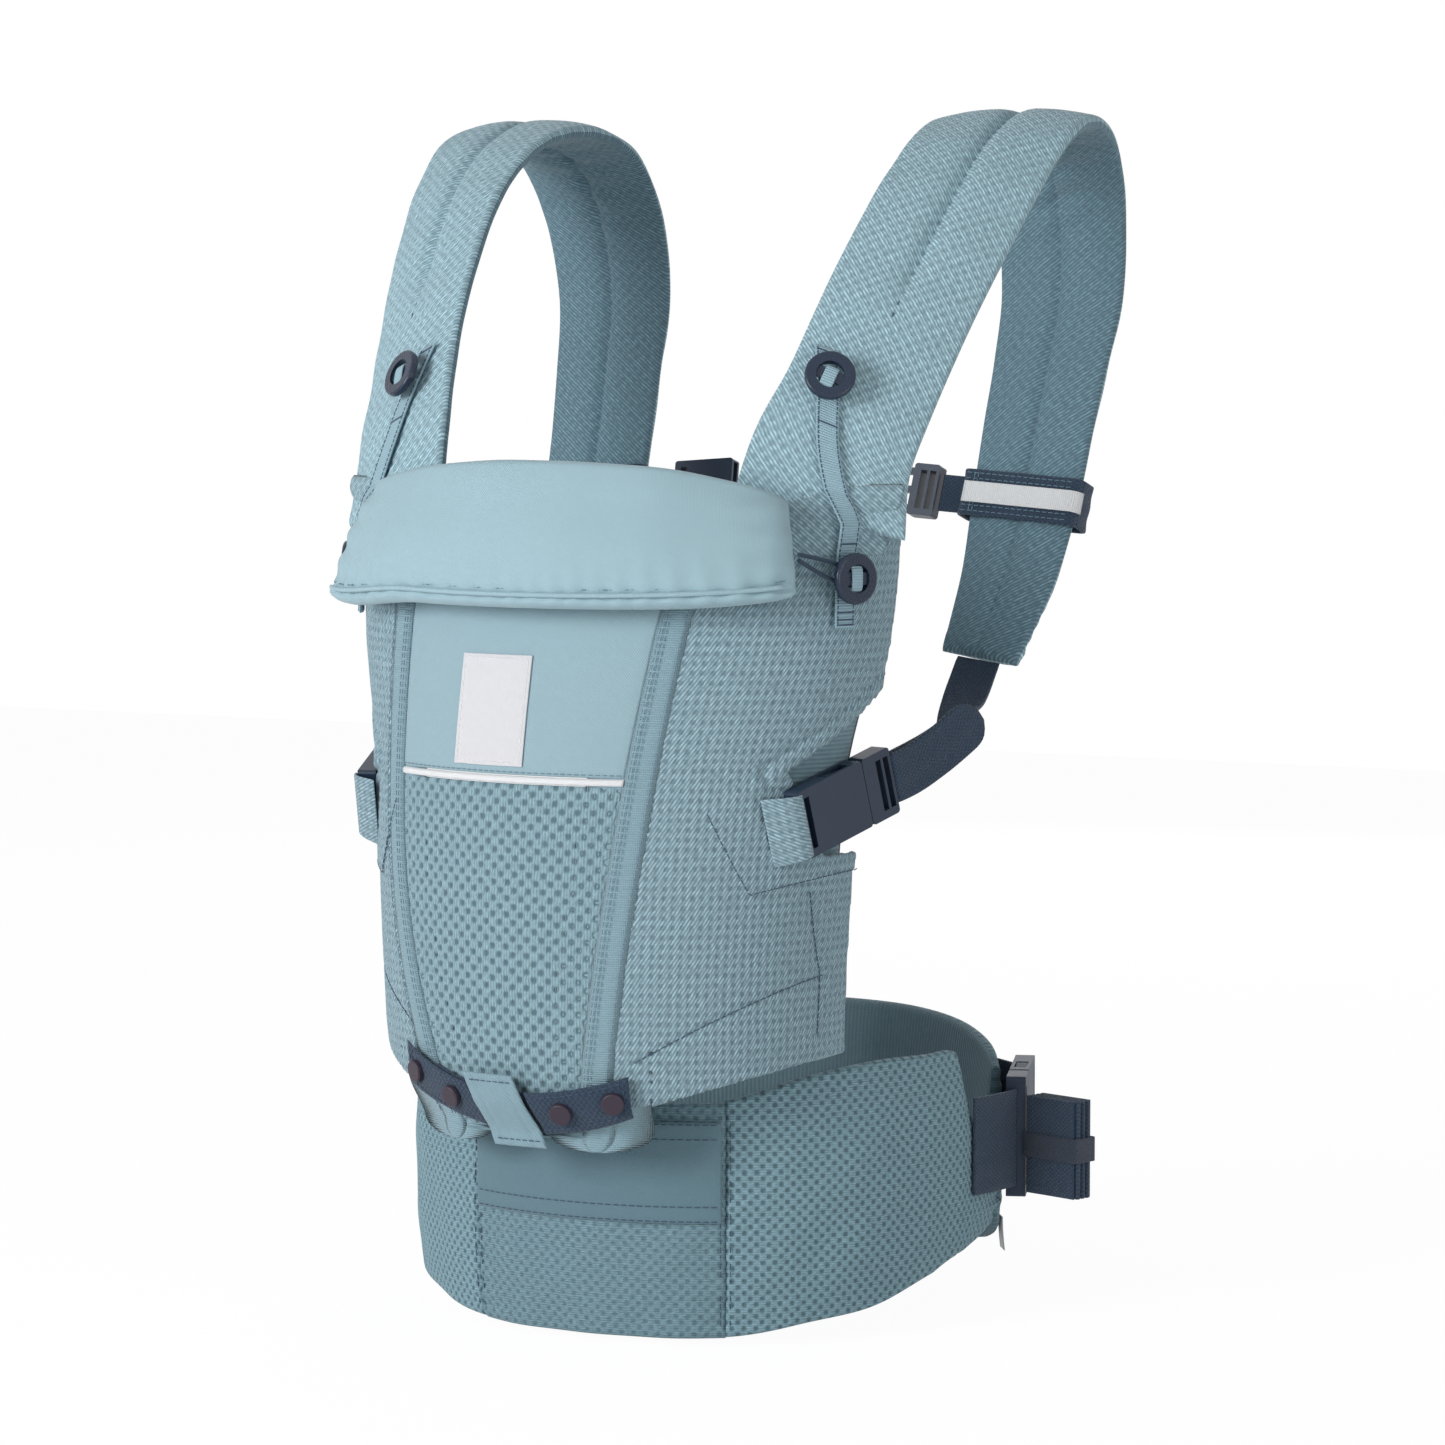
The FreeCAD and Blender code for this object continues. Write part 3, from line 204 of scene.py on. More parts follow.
paper.links.new(glow.outputs[0], blend.inputs[2])
paper.links.new(blend.outputs[0], output.inputs[0])
mesh.materials.append(paper.material)

room = bpy.data.worlds.new("room")
room.use_nodes = True
bpy.context.scene.world = room
sky = room.node_tree.nodes["Background"]
sky.inputs["Color"].default_value = (1, 1, 1, 1)
rays = room.node_tree.nodes.new("ShaderNodeLightPath")
level = room.node_tree.nodes.new("ShaderNodeMapRange")
level.inputs["To Min"].default_value = room_light
level.inputs["To Max"].default_value = 1.0
shown = room.node_tree.nodes.new("ShaderNodeMath")
shown.operation = "MAXIMUM"
room.node_tree.links.new(rays.outputs["Is Camera Ray"], shown.inputs[0])
room.node_tree.links.new(rays.outputs["Is Glossy Ray"], shown.inputs[1])
room.node_tree.links.new(shown.outputs[0], level.inputs["Value"])
room.node_tree.links.new(level.outputs[0], sky.inputs["Strength"])


def lamp(name, place, size, power):
    light = bpy.data.lights.new(name, "AREA")
    light.size, light.energy = size, power
    made = bpy.data.objects.new(name, light)
    made.matrix_world = aimed(Vector(place), camera_target)
    bpy.context.scene.collection.objects.link(made)


lamp("key_lamp", place=(-1.05, -2.35, 0.95), size=1.0, power=47)
lamp("side_lamp", place=(2.3, -1.0, 0.45), size=1.2, power=14)
lamp("back_lamp", place=(-0.4, 2.2, 0.8), size=1.2, power=7)


# Two elastic cords, each sewn into an end of the head support and hooked round the lower button.
# The left one's points are the mirror image of the right one's.
SIDES = (("left", -1), ("right", 1))
elastic_radius = 0.0011
elastic_route = ((0.12750, -0.15052, 0.38640), (0.14332, -0.11552, 0.37949),
                 (0.14128, -0.12004, 0.36533), (0.12750, -0.15052, 0.38360))
elastic = Finish("navy_elastic", Roughness=0.6, Sheen_Weight=0.15, Specular_IOR_Level=0.3)
braid = elastic.cloud(1400.0, 1.0)
elastic.feed(Base_Color=elastic.mix(braid, (0.034, 0.066, 0.110), (0.012, 0.026, 0.048)))
elastic.raise_by(braid, 0.0002)
for name, side in SIDES:
    line = bpy.data.curves.new("head_support_loop_" + name, "CURVE")
    line.dimensions, line.bevel_depth, line.bevel_resolution = "3D", elastic_radius, 3
    line.resolution_u, line.use_fill_caps = 16, True
    spline = line.splines.new("NURBS")
    spline.points.add(len(elastic_route) - 1)
    for point, (x, y, z) in zip(spline.points, elastic_route):
        point.co = (side * x, y, z, 1)
    spline.order_u, spline.use_endpoint_u = 3, True
    line.materials.append(elastic.material)
    loop = bpy.data.objects.new("head_support_loop_" + name, line)
    bpy.context.scene.collection.objects.link(loop)
    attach(loop, "head_support")
    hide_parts("head_support_loops")


# The body panel: a half ellipse in plan that narrows towards the seat. Its front is a spacer mesh
# with staggered oval holes below and a smooth twill yoke above, with a thin pale reflective strip
# sewn in between them. All three run under the side bindings.
panel_y = -0.103
panel_bottom = 0.104
panel_height = 0.296
panel_half_width = 0.150
panel_depth = 0.103
panel_edge_y = 0.020
height_shares = np.array((0.0, 0.05, 0.12, 0.32, 0.60, 0.80, 1.0))
width_shares = np.array((0.787, 0.82, 0.833, 0.853, 0.893, 0.973, 1.0))
depth_shares = np.array((0.913, 0.98, 0.995, 0.99, 0.951, 0.893, 0.796))
edge_shares = np.array((0.5, 0.5, 0.4, 0.35, 0.5, 0.8, 1.0))
weave_radius = 0.122
seam_gap = 0.0003
UP = np.array((0.0, 0.0, 1.0))


def eased(shares, values, share):
    # A smooth line through values that are given at shares
    shares, values, share = np.asarray(shares), np.asarray(values, float), np.asarray(share, float)
    last = len(shares) - 1
    low = np.searchsorted(shares[1:-1], share)
    part = np.clip((share - shares[low]) / (shares[low + 1] - shares[low]), 0, 1)
    before, a = values[np.maximum(low - 1, 0)], values[low]
    b, after = values[low + 1], values[np.minimum(low + 2, last)]
    if values.ndim > 1:
        part = part[..., None]
    return (a * 2 + (b - before) * part + (before * 2 - a * 5 + b * 4 - after) * part ** 2
            + (a * 3 - before - b * 3 + after) * part ** 3) * 0.5


def panel_form(z):
    # Half width, depth and place of the side edges at a height
    share = (z - panel_bottom) / panel_height
    return (panel_half_width * eased(height_shares, width_shares, share),
            panel_depth * eased(height_shares, depth_shares, share),
            panel_y + panel_edge_y * eased(height_shares, edge_shares, share))


def panel_point(z, turn, out):
    # A place by height, turn round the front, and level above the panel's face
    half, depth, edge_y = panel_form(z)
    return np.stack(((half + out) * np.sin(turn), edge_y - (depth + out) * np.cos(turn),
                     z + turn * 0), -1)


def panel_turn(z, x):
    return np.arcsin(np.clip(x / panel_form(z)[0], -1, 1))


def panel_weave(points):
    half, depth, edge_y = panel_form(points[:, 2])
    turn = np.arctan2(points[:, 0] / half, (edge_y - points[:, 1]) / depth)
    return np.stack((turn * weave_radius, points[:, 2], turn * 0), -1)


def spaced(length, step, edge):
    # Distances along an edge, closer together where the cloth rounds over at both ends
    inner = np.linspace(edge, length - edge, max(2, int((length - 2 * edge) / step) + 1))
    ends = np.array((0.0, 0.13, 0.5)) * edge
    return np.concatenate((ends, inner, (length - ends)[::-1]))


def roundness(distance, length, edge):
    near = np.minimum(distance, length - distance)
    return np.sqrt(np.clip(1 - (1 - np.clip(near / edge, 0, 1)) ** 2, 0, 1))


def made_mesh(name, points, faces, weave, finishes, body, replaced, finish_of=None):
    # A piece named as its CAD node gets "_cloth" behind its name. One with no body here is
    # left unattached.
    name = name + "_cloth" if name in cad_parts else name
    mesh = bpy.data.meshes.new(name)
    mesh.from_pydata(points.tolist(), [], faces)
    mesh.attributes.new("weave", "FLOAT_VECTOR", "POINT")
    mesh.attributes["weave"].data.foreach_set("vector", np.asarray(weave, np.float32).ravel())
    mesh.shade_smooth()
    for finish in finishes:
        mesh.materials.append(finish.material)
    if finish_of is not None:
        mesh.polygons.foreach_set("material_index", np.asarray(finish_of, np.int32))
    mesh.validate()
    made = bpy.data.objects.new(name, mesh)
    bpy.context.scene.collection.objects.link(made)
    if body:
        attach(made, body)
    if replaced:
        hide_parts(*replaced)
    return made


def grid_faces(rows, columns):
    # Faces with four corners over a grid of points
    numbers = np.arange(rows * columns).reshape(rows, columns)
    return np.stack((numbers[:-1, :-1], numbers[:-1, 1:], numbers[1:, 1:], numbers[1:, :-1]),
                    -1).reshape(-1, 4)


def shell(name, front, back, weave, finishes, body, replaced, slot):
    # Two faces of a cloth piece that meet all round its edge
    rows, columns = front.shape[:2]
    count = rows * columns
    numbers = np.arange(count).reshape(rows, columns)
    inside = np.zeros((rows, columns), bool)
    inside[1:-1, 1:-1] = True
    behind = numbers.copy()
    behind[inside] = count + np.arange(inside.sum())
    points = np.concatenate((front.reshape(-1, 3), back[inside]))
    faces = grid_faces(rows, columns)
    back_faces = behind.ravel()[faces][:, ::-1]
    all_faces = np.concatenate((faces, back_faces)).tolist()
    finish_of = np.concatenate((np.zeros(len(faces)), np.ones(len(faces)) * (len(finishes) - 1)))
    return made_mesh(name, points, all_faces, weave(points), finishes, body, replaced,
                     finish_of)


def no_relief(weave):
    return 0.0


def panel_cloth(name, z_low, z_high, x_low, x_high, out, thick, step, finishes, slot, replaced,
                relief=no_relief, body="carrier", edge=0.0015):
    # A cloth piece that lies on the panel between two side lines; out is its outer face
    tall = z_high - z_low
    wide = abs(x_high(z_low) - x_low(z_low)) * 1.1
    z = z_low + spaced(tall, step, edge)[:, None]
    share = spaced(wide, step, edge)[None, :] / wide
    x = x_low(z) + (x_high(z) - x_low(z)) * share
    full = roundness(z - z_low, tall, edge) * roundness(share * wide, wide, edge) * thick / 2
    turn = panel_turn(z, x)
    middle = (out(z) if callable(out) else out) - thick / 2
    flat = np.stack((turn * weave_radius, z + turn * 0), -1)
    front = panel_point(z + turn * 0, turn, middle + full + relief(flat) * (full > 0))
    back = panel_point(z + turn * 0, turn, middle - full)
    return shell(name, front, back, panel_weave, finishes, body, replaced, slot)


def smooth_part(value, low, high):
    # 0 below low and 1 above high, for numbers of a mesh and for a material's signals
    if isinstance(value, Signal):
        return value.finish.node("ShaderNodeMapRange", {"interpolation_type": "SMOOTHSTEP"},
                                 value, low, high, 0.0, 1.0)
    part = np.clip((value - low) / (high - low), 0, 1)
    return part * part * (3 - 2 * part)


def wave(value, pitch):
    # A cosine over a distance, for numbers of a mesh and for a material's signals
    value = value * (2 * math.pi / pitch)
    return value.math("COSINE") if isinstance(value, Signal) else np.cos(value)


hole_width = 0.0076
hole_height = 0.0078
strip_z = 0.276
strip_half = 0.0018
yoke_top = 0.425
band_inner_top = (0.083, 0.067)
band_inner_bottom = (0.042, 0.028)
band_width = 0.014
band_bend_share = 0.57
mesh_dent = 0.0011
cloth_thick = 0.003


def band_inner(z, side):
    # The left band bends in below its middle, and the right one is straight
    share = (z - panel_bottom) / panel_height
    if side < 0:
        share = np.sin(np.clip(share / band_bend_share, 0, 1) * math.pi / 2)
    low, high = [pair[int(side > 0)] for pair in (band_inner_bottom, band_inner_top)]
    return low + (high - low) * share


def band_outer(z, side):
    return band_inner(z, side) + band_width


def inner_left(z):
    return seam_gap - band_inner(z, -1)


def inner_right(z):
    return band_inner(z, 1) - seam_gap


def oval_holes(u, v, wide, tall, low=-0.12, high=0.85):
    # Staggered oval holes: 1 in a hole and 0 on the cloth
    return smooth_part(wave(u, wide) * wave(v, tall), low, high)


def mesh_finish(name, wide, tall, light, dark, depth=1.0):
    made = Finish(name, Roughness=0.85, Sheen_Weight=0.15, Specular_IOR_Level=0.25)
    u, v = made.threads()
    holes = oval_holes(u, v, wide, tall)
    strands = made.streaks(0.1, 0.0007, 0.0026)
    wales = smooth_part(wave(u, wide / 5), -0.6, 0.9)
    lit = made.mix(strands * 0.55 + wales * 0.45, tuple(0.68 * c for c in light),
                   tuple(1.32 * c for c in light))
    # The dark colour in the holes is painted shade: the shade that falls deep in each hole.
    colour = made.mix(holes * depth, lit, dark)
    colour = made.mix(made.cloud(14.0) * 0.25, colour, tuple(0.8 * c for c in light))
    made.feed(Base_Color=colour)
    made.raise_by(strands * 0.3 + wales * 0.2 - holes * depth, 0.0004)
    return made


def twill_finish(name, light, pitch=0.0011, contrast=0.22, dark_share=0.78):
    made = Finish(name, Roughness=0.72, Sheen_Weight=0.25, Specular_IOR_Level=0.3)
    u, v = made.threads()
    ribs = wave(u + v * 0.8, pitch) * 0.5 + 0.5
    slub = made.cloud(420.0, 1.0)
    dark = tuple(dark_share * c for c in light)
    colour = made.mix(ribs * contrast + slub * 0.25, light, dark)
    colour = made.mix(made.cloud(9.0) * 0.3, colour, tuple(0.93 * c for c in light))
    made.feed(Base_Color=colour)
    made.raise_by(ribs * 0.7 + slub, 0.00018)
    return made


panel_mesh_finish = mesh_finish("panel_spacer_mesh", hole_width, hole_height,
                                (0.238, 0.365, 0.421), (0.066, 0.123, 0.152), 0.85)
twill = twill_finish("light_twill", (0.300, 0.442, 0.505))


def mesh_relief(flat):
    return -mesh_dent * oval_holes(flat[..., 0], flat[..., 1], hole_width, hole_height)


panel_cloth("panel_mesh_front", panel_bottom, strip_z - strip_half - seam_gap, inner_left,
                     inner_right, 0.0, cloth_thick, 0.0012, [panel_mesh_finish], "panel_mesh",
                     ["panel_mesh"], mesh_relief)
panel_cloth("yoke", strip_z + strip_half + seam_gap, yoke_top, inner_left, inner_right,
                     0.0, cloth_thick, 0.0035, [twill], "light_twill", ["panel_yoke"])
pale_finish = Finish("pale_reflective", Roughness=0.35, Specular_IOR_Level=0.6)
u, v = pale_finish.threads()
beads = pale_finish.node("ShaderNodeTexVoronoi", {}, Scale=1800.0)
pale_finish.feed(Base_Color=pale_finish.mix(beads, (0.90, 0.91, 0.92), (0.74, 0.75, 0.78)))
pale_finish.raise_by(beads, 0.0001)
panel_cloth("reflective_strip", strip_z - strip_half, strip_z + strip_half, inner_left,
            inner_right, 0.0008, 0.0032, 0.002, [pale_finish], "reflective_tape",
            ["reflective_piping"], edge=0.0012)


# Side bindings: ribbed tape folded over the seams on both sides of the panel's front. Each runs on
# below the panel's edge as a short tongue with rounded corners.
binding_tongue = 0.009
binding_over = 0.001
binding_fold = 0.0014
binding_level = 0.0012
binding_thick = 0.0040
binding_top = 0.4


def ribbed_finish(name, light, dark, pitch=0.0016):
    made = Finish(name, Roughness=0.78, Sheen_Weight=0.2, Specular_IOR_Level=0.3)
    u, v = made.threads()
    ribs = wave(v, pitch) * 0.5 + 0.5
    fine = wave(u, 0.0009) * 0.5 + 0.5
    made.feed(Base_Color=made.mix(ribs * 0.6 + made.cloud(300.0, 1.0) * 0.4, light, dark))
    made.raise_by(ribs + fine * 0.3, 0.0003)
    return made


grosgrain = ribbed_finish("teal_grosgrain", (0.290, 0.440, 0.510), (0.215, 0.343, 0.408), 0.0011)


def tongue_round(z):
    # How far each edge draws in towards the tongue's tip
    below = np.clip((panel_bottom - z) / binding_tongue, 0, 1)
    half = (band_width + binding_fold + binding_over) / 2
    return half * (1 - np.sqrt(1 - below ** 2)) * 0.96


def binding_edge(side, outer):
    if outer:
        return lambda z: side * (band_outer(z, side) + binding_fold - tongue_round(z))
    return lambda z: side * (band_inner(z, side) - binding_over + tongue_round(z))


for name, side in SIDES:
    panel_cloth("binding_" + name, panel_bottom - binding_tongue, binding_top,
                binding_edge(side, side < 0), binding_edge(side, side > 0), binding_level,
                binding_thick, 0.002, [grosgrain], "teal_binding", ["panel_band_" + name])


# Sewing thread: dark blue on most seams, and grey teal on the bindings, the yoke, the head support
# and the keepers. Each row is made of short stitches, small rounded capsules that lie half sunk
# in the cloth along a line.
stitch_length = 0.0026
stitch_pitch = 0.0036
stitch_radius = 0.00028
stitch_sides = 6
binding_rows = (0.0016, 0.0036, band_width - 0.0016)
binding_seam_level = 0.00135
yoke_seam = 0.0036


def thread_finish(name, light, dark):
    made = Finish(name, Roughness=0.6, Sheen_Weight=0.1)
    twist = made.cloud(900.0, 1.0)
    made.feed(Base_Color=made.mix(twist, light, dark))
    made.raise_by(twist, 0.0001)
    return made


thread = thread_finish("dark_thread", (0.045, 0.085, 0.150), (0.020, 0.045, 0.090))
pale_thread = thread_finish("teal_thread", (0.16, 0.26, 0.32), (0.11, 0.19, 0.24))


def run_length(centres):
    return np.concatenate(([0], np.cumsum(np.linalg.norm(np.diff(centres, axis=0), axis=1))))


def evenly(line, step):
    # Points at equal steps along a line, with the line's direction at each
    line = np.asarray(line, float)
    along = run_length(line)
    places = np.arange(step / 2, along[-1], step)
    points = np.stack([np.interp(places, along, line[:, k]) for k in range(3)], -1)
    ahead = np.stack([np.interp(places + step / 4, along, line[:, k]) for k in range(3)], -1)
    behind = np.stack([np.interp(places - step / 4, along, line[:, k]) for k in range(3)], -1)
    ways = ahead - behind
    return points, ways / np.maximum(np.linalg.norm(ways, axis=1, keepdims=True), 1e-9)


def stitches(name, lines, body="carrier", finish=thread, length=stitch_length,
             pitch=stitch_pitch, radius=stitch_radius):
    # One mesh of all the stitches along some lines
    spots, ways = zip(*[evenly(line, pitch) for line in lines])
    spots, ways = np.concatenate(spots), np.concatenate(ways)
    side = np.cross(ways, UP + ways[:, [1, 2, 0]] * 0.01)
    side /= np.linalg.norm(side, axis=1, keepdims=True)
    third = np.cross(ways, side)
    shares = np.array((-0.5, -0.42, 0.42, 0.5))
    sizes = np.array((0.35, 1.0, 1.0, 0.35))
    turns = np.arange(stitch_sides) * 2 * math.pi / stitch_sides
    ring = (side[:, None, :] * np.cos(turns)[None, :, None]
            + third[:, None, :] * np.sin(turns)[None, :, None])
    along = (shares * length)[None, :, None, None]
    points = (spots[:, None, None, :] + ways[:, None, None, :] * along
              + ring[:, None, :, :] * (sizes * radius)[None, :, None, None])
    each = len(shares) * stitch_sides
    faces = []
    for row in range(len(shares) - 1):
        for k in range(stitch_sides):
            after = (k + 1) % stitch_sides
            faces.append([row * stitch_sides + k, row * stitch_sides + after,
                          (row + 1) * stitch_sides + after, (row + 1) * stitch_sides + k])
    caps = [list(range(stitch_sides))[::-1], list(range(each - stitch_sides, each))]
    all_faces = []
    for number in range(len(spots)):
        all_faces += [[number * each + k for k in face] for face in faces + caps]
    points = points.reshape(-1, 3)
    return made_mesh(name, points, all_faces, points, [finish], body, [])


def panel_line(places, out, count=60):
    # A line on the panel through places given by x and height
    places = np.asarray(places, float)
    share = np.linspace(0, 1, len(places))
    fine = np.linspace(0, 1, count)
    x = np.interp(fine, share, places[:, 0])
    z = np.interp(fine, share, places[:, 1])
    return panel_point(z, panel_turn(z, x), out)


band_lines = []
for name, side in SIDES:
    heights = np.linspace(panel_bottom + 0.004, binding_top, 80)
    for inset in binding_rows:
        turns = panel_turn(heights, side * (band_inner(heights, side) + inset))
        band_lines.append(panel_point(heights, turns, binding_seam_level))
stitches("binding_stitches", band_lines, finish=pale_thread)
yoke_line = panel_line([(inner_left(strip_z), strip_z + yoke_seam),
                        (inner_right(strip_z), strip_z + yoke_seam)], 0.0002)
stitches("yoke_stitches", [yoke_line], finish=pale_thread)


# The blank patch on the yoke, left of its middle: a woven off-white rectangle that is sewn down
# with one row of pale thread close to its edge.
patch_x = -0.0227
patch_half = 0.0205
patch_low = 0.2823
patch_tall = 0.0535
patch_level = 0.0011
patch_thick = 0.0008
patch_margin = 0.0018
patch_seam_level = 0.00118
patch_finish = Finish("patch_weave", Roughness=0.8, Sheen_Weight=0.2)
u, v = patch_finish.threads()
checks = wave(u, 0.0009) * wave(v, 0.0009) * 0.5 + 0.5
patch_finish.feed(Base_Color=patch_finish.mix(checks * 0.5, (0.70, 0.70, 0.73),
                                              (0.61, 0.61, 0.64)))
patch_finish.raise_by(checks, 0.0002)
panel_cloth("blank_patch", patch_low, patch_low + patch_tall, lambda z: patch_x - patch_half,
            lambda z: patch_x + patch_half, patch_level, patch_thick, 0.0025, [patch_finish],
            "blank_patch", ["label_patch"], edge=0.0004)
low_x, high_x = patch_x - patch_half + patch_margin, patch_x + patch_half - patch_margin
low_z, high_z = patch_low + patch_margin, patch_low + patch_tall - patch_margin
corners = [(low_x, low_z), (high_x, low_z), (high_x, high_z), (low_x, high_z), (low_x, low_z)]
patch_lines = [panel_line([a, b], patch_seam_level, 12) for a, b in zip(corners, corners[1:])]
stitches("patch_stitches", patch_lines, finish=pale_finish, length=0.0022, pitch=0.003,
         radius=0.00022)


# Panel wings: waffle cloth on both sides of the front, cut out behind for the child's arm and
# for the buckle, with a folded hem along the cut and topstitched seams. The cut cloth is
# remeshed finely so that its squares are real dents.
waffle_pitch = 0.0047
waffle_dent = 0.0006
wing_voxel = 0.0013
flap_rise = 0.0011
wing_seam_depth = 0.0009
wing_seam_half = 0.0011
hem_width = 0.0075
hem_rise = 0.0009
hem_groove = 0.0012
hem_groove_half = 0.0012


def waffle(u, v, pitch):
    # Square dents: 1 in a dent and 0 on the cloth
    across, along = wave(u, pitch), wave(v, pitch)
    return smooth_part(across, -0.45, 0.6) * smooth_part(along, -0.45, 0.6)


def waffle_finish(name, pitch, light, dark, slanted=False, lean=0.55):
    made = Finish(name, Roughness=0.82, Sheen_Weight=0.2, Specular_IOR_Level=0.25)
    u, v = made.threads()
    dents = oval_holes(u, v, pitch, pitch, -0.2, 0.8) if slanted else waffle(u, v, pitch)
    strands = made.streaks(lean, 0.0009, 0.0036)
    ribs = wave(u * math.cos(lean) - v * math.sin(lean), 0.0016) * 0.5 + 0.5
    pale = ribs * (strands * 0.75 + 0.25)
    lit = made.mix(pale, tuple(0.62 * c for c in light), tuple(1.75 * c for c in light))
    # The dark colour in the dents is painted shade: the shade that falls in each dent.
    colour = made.mix(dents * 0.55, lit, dark)
    colour = made.mix(made.cloud(12.0) * 0.25, colour, tuple(0.8 * c for c in light))
    made.feed(Base_Color=colour)
    made.raise_by(pale * 0.6 - dents * 0.4, 0.00025)
    return made


wing_finish = waffle_finish("wing_waffle", waffle_pitch, (0.250, 0.368, 0.427),
                            (0.090, 0.152, 0.189))


def softened(name, node, voxel, weave, relief, finishes, body="carrier", smooth=4):
    # A fine remesh of a cut cloth solid, with rounded edges and its relief pressed in
    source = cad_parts[node]
    work = bpy.data.objects.new("work", source.data.copy())
    bpy.context.scene.collection.objects.link(work)
    remesh = work.modifiers.new("remesh", "REMESH")
    remesh.mode, remesh.voxel_size = "VOXEL", voxel
    softer = work.modifiers.new("smooth", "SMOOTH")
    softer.iterations, softer.factor = smooth, 0.5
    bpy.context.view_layer.update()
    ready = work.evaluated_get(bpy.context.evaluated_depsgraph_get())
    mesh = bpy.data.meshes.new_from_object(ready)
    count = len(mesh.vertices)
    points, normals = np.zeros(count * 3), np.zeros(count * 3)
    mesh.vertices.foreach_get("co", points)
    mesh.vertices.foreach_get("normal", normals)
    points, normals = points.reshape(-1, 3), normals.reshape(-1, 3)
    threads = weave(points)
    points = points + normals * relief(threads, points, normals)[:, None]
    faces = [list(face.vertices) for face in mesh.polygons]
    bpy.data.objects.remove(work)
    return made_mesh(name, points, faces, threads, finishes, body, [node])


# The doubled cloth beside the buckle, and then the wing's seams, all by x and height
flap_corners = np.array(((0.0870, 0.262), (0.1035, 0.222), (0.1330, 0.231), (0.1330, 0.250),
                         (0.1160, 0.284)))


def inside(corners, x, z):
    # Which places lie inside a polygon
    found = np.zeros(x.shape, bool)
    ahead = np.roll(corners, -1, axis=0)
    for (ax, az), (bx, bz) in zip(corners, ahead):
        crosses = (az > z) != (bz > z)
        found ^= crosses & (x < (bx - ax) * (z - az) / (bz - az + 1e-12) + ax)
    return found


def near_line(places, x, z):
    # Distance to a line of places
    nearest = np.full(x.shape, 1.0)
    for (ax, az), (bx, bz) in zip(places, places[1:]):
        run = np.array((bx - ax, bz - az))
        share = np.clip(((x - ax) * run[0] + (z - az) * run[1]) / (run @ run), 0, 1)
        nearest = np.minimum(nearest, np.hypot(x - ax - run[0] * share, z - az - run[1] * share))
    return nearest


wing_seams = (((0.057, 0.141), (0.085, 0.158), (0.113, 0.174), (0.124, 0.180)),
              ((0.1225, 0.222), (0.1235, 0.180), (0.122, 0.150)))
# The arm opening's sloping edge, by y and height
notch_line = ((-0.142, 0.280), (-0.063, 0.338))


def wing_relief(threads, points, normals):
    outwards = normals[:, 1] * -1 + np.abs(normals[:, 0]) * np.sign(points[:, 0] * normals[:, 0])
    outer = outwards > 0
    depth = waffle(threads[:, 0], threads[:, 1], waffle_pitch) * waffle_dent
    x, z = np.abs(points[:, 0]), points[:, 2]
    rise = np.where(inside(flap_corners, x, z), flap_rise, 0.0)
    for seam in wing_seams:
        rise -= wing_seam_depth * np.exp(-(near_line(seam, x, z) / wing_seam_half) ** 2)
    hem = near_line(notch_line, points[:, 1], z)
    rise += hem_rise * smooth_part(-hem, -hem_width, -hem_width + 0.002)
    rise -= hem_groove * np.exp(-((hem - hem_width - 0.001) / hem_groove_half) ** 2)
    return np.where(outer, rise - depth, -depth * 0.5)


for name, side in SIDES:
    softened("wing_" + name, "panel_wing_" + name, wing_voxel, panel_weave, wing_relief,
                      [wing_finish])
seam_lines = []
for side in (-1, 1):
    for seam in wing_seams:
        seam_lines.append(panel_line([(side * x, z) for x, z in seam], -0.0005))
    seam_lines.append(panel_line([(side * x, z) for x, z in flap_corners[:3]], 0.0010))
stitches("wing_stitches", seam_lines, length=0.0030, radius=0.00026)


# The waist belt: a ring of padded mesh, high in front, with two wings that slope up and narrow
# to the webbing at their ends. Its holes, seams and puckers are dents in the padding.
def loop_shares(columns, sides):
    # A closed loop round a pad: its two faces and its round sides
    across = np.linspace(-1, 1, columns)
    turns = np.linspace(math.pi / 2, -math.pi / 2, sides + 2)[1:-1]
    one, none = np.ones(len(turns)), across * 0
    return (np.concatenate((across, one, across[::-1], -one)),
            np.concatenate((none, np.cos(turns), none, -np.cos(turns))),
            np.concatenate((none + 1, np.sin(turns), none - 1, -np.sin(turns))))


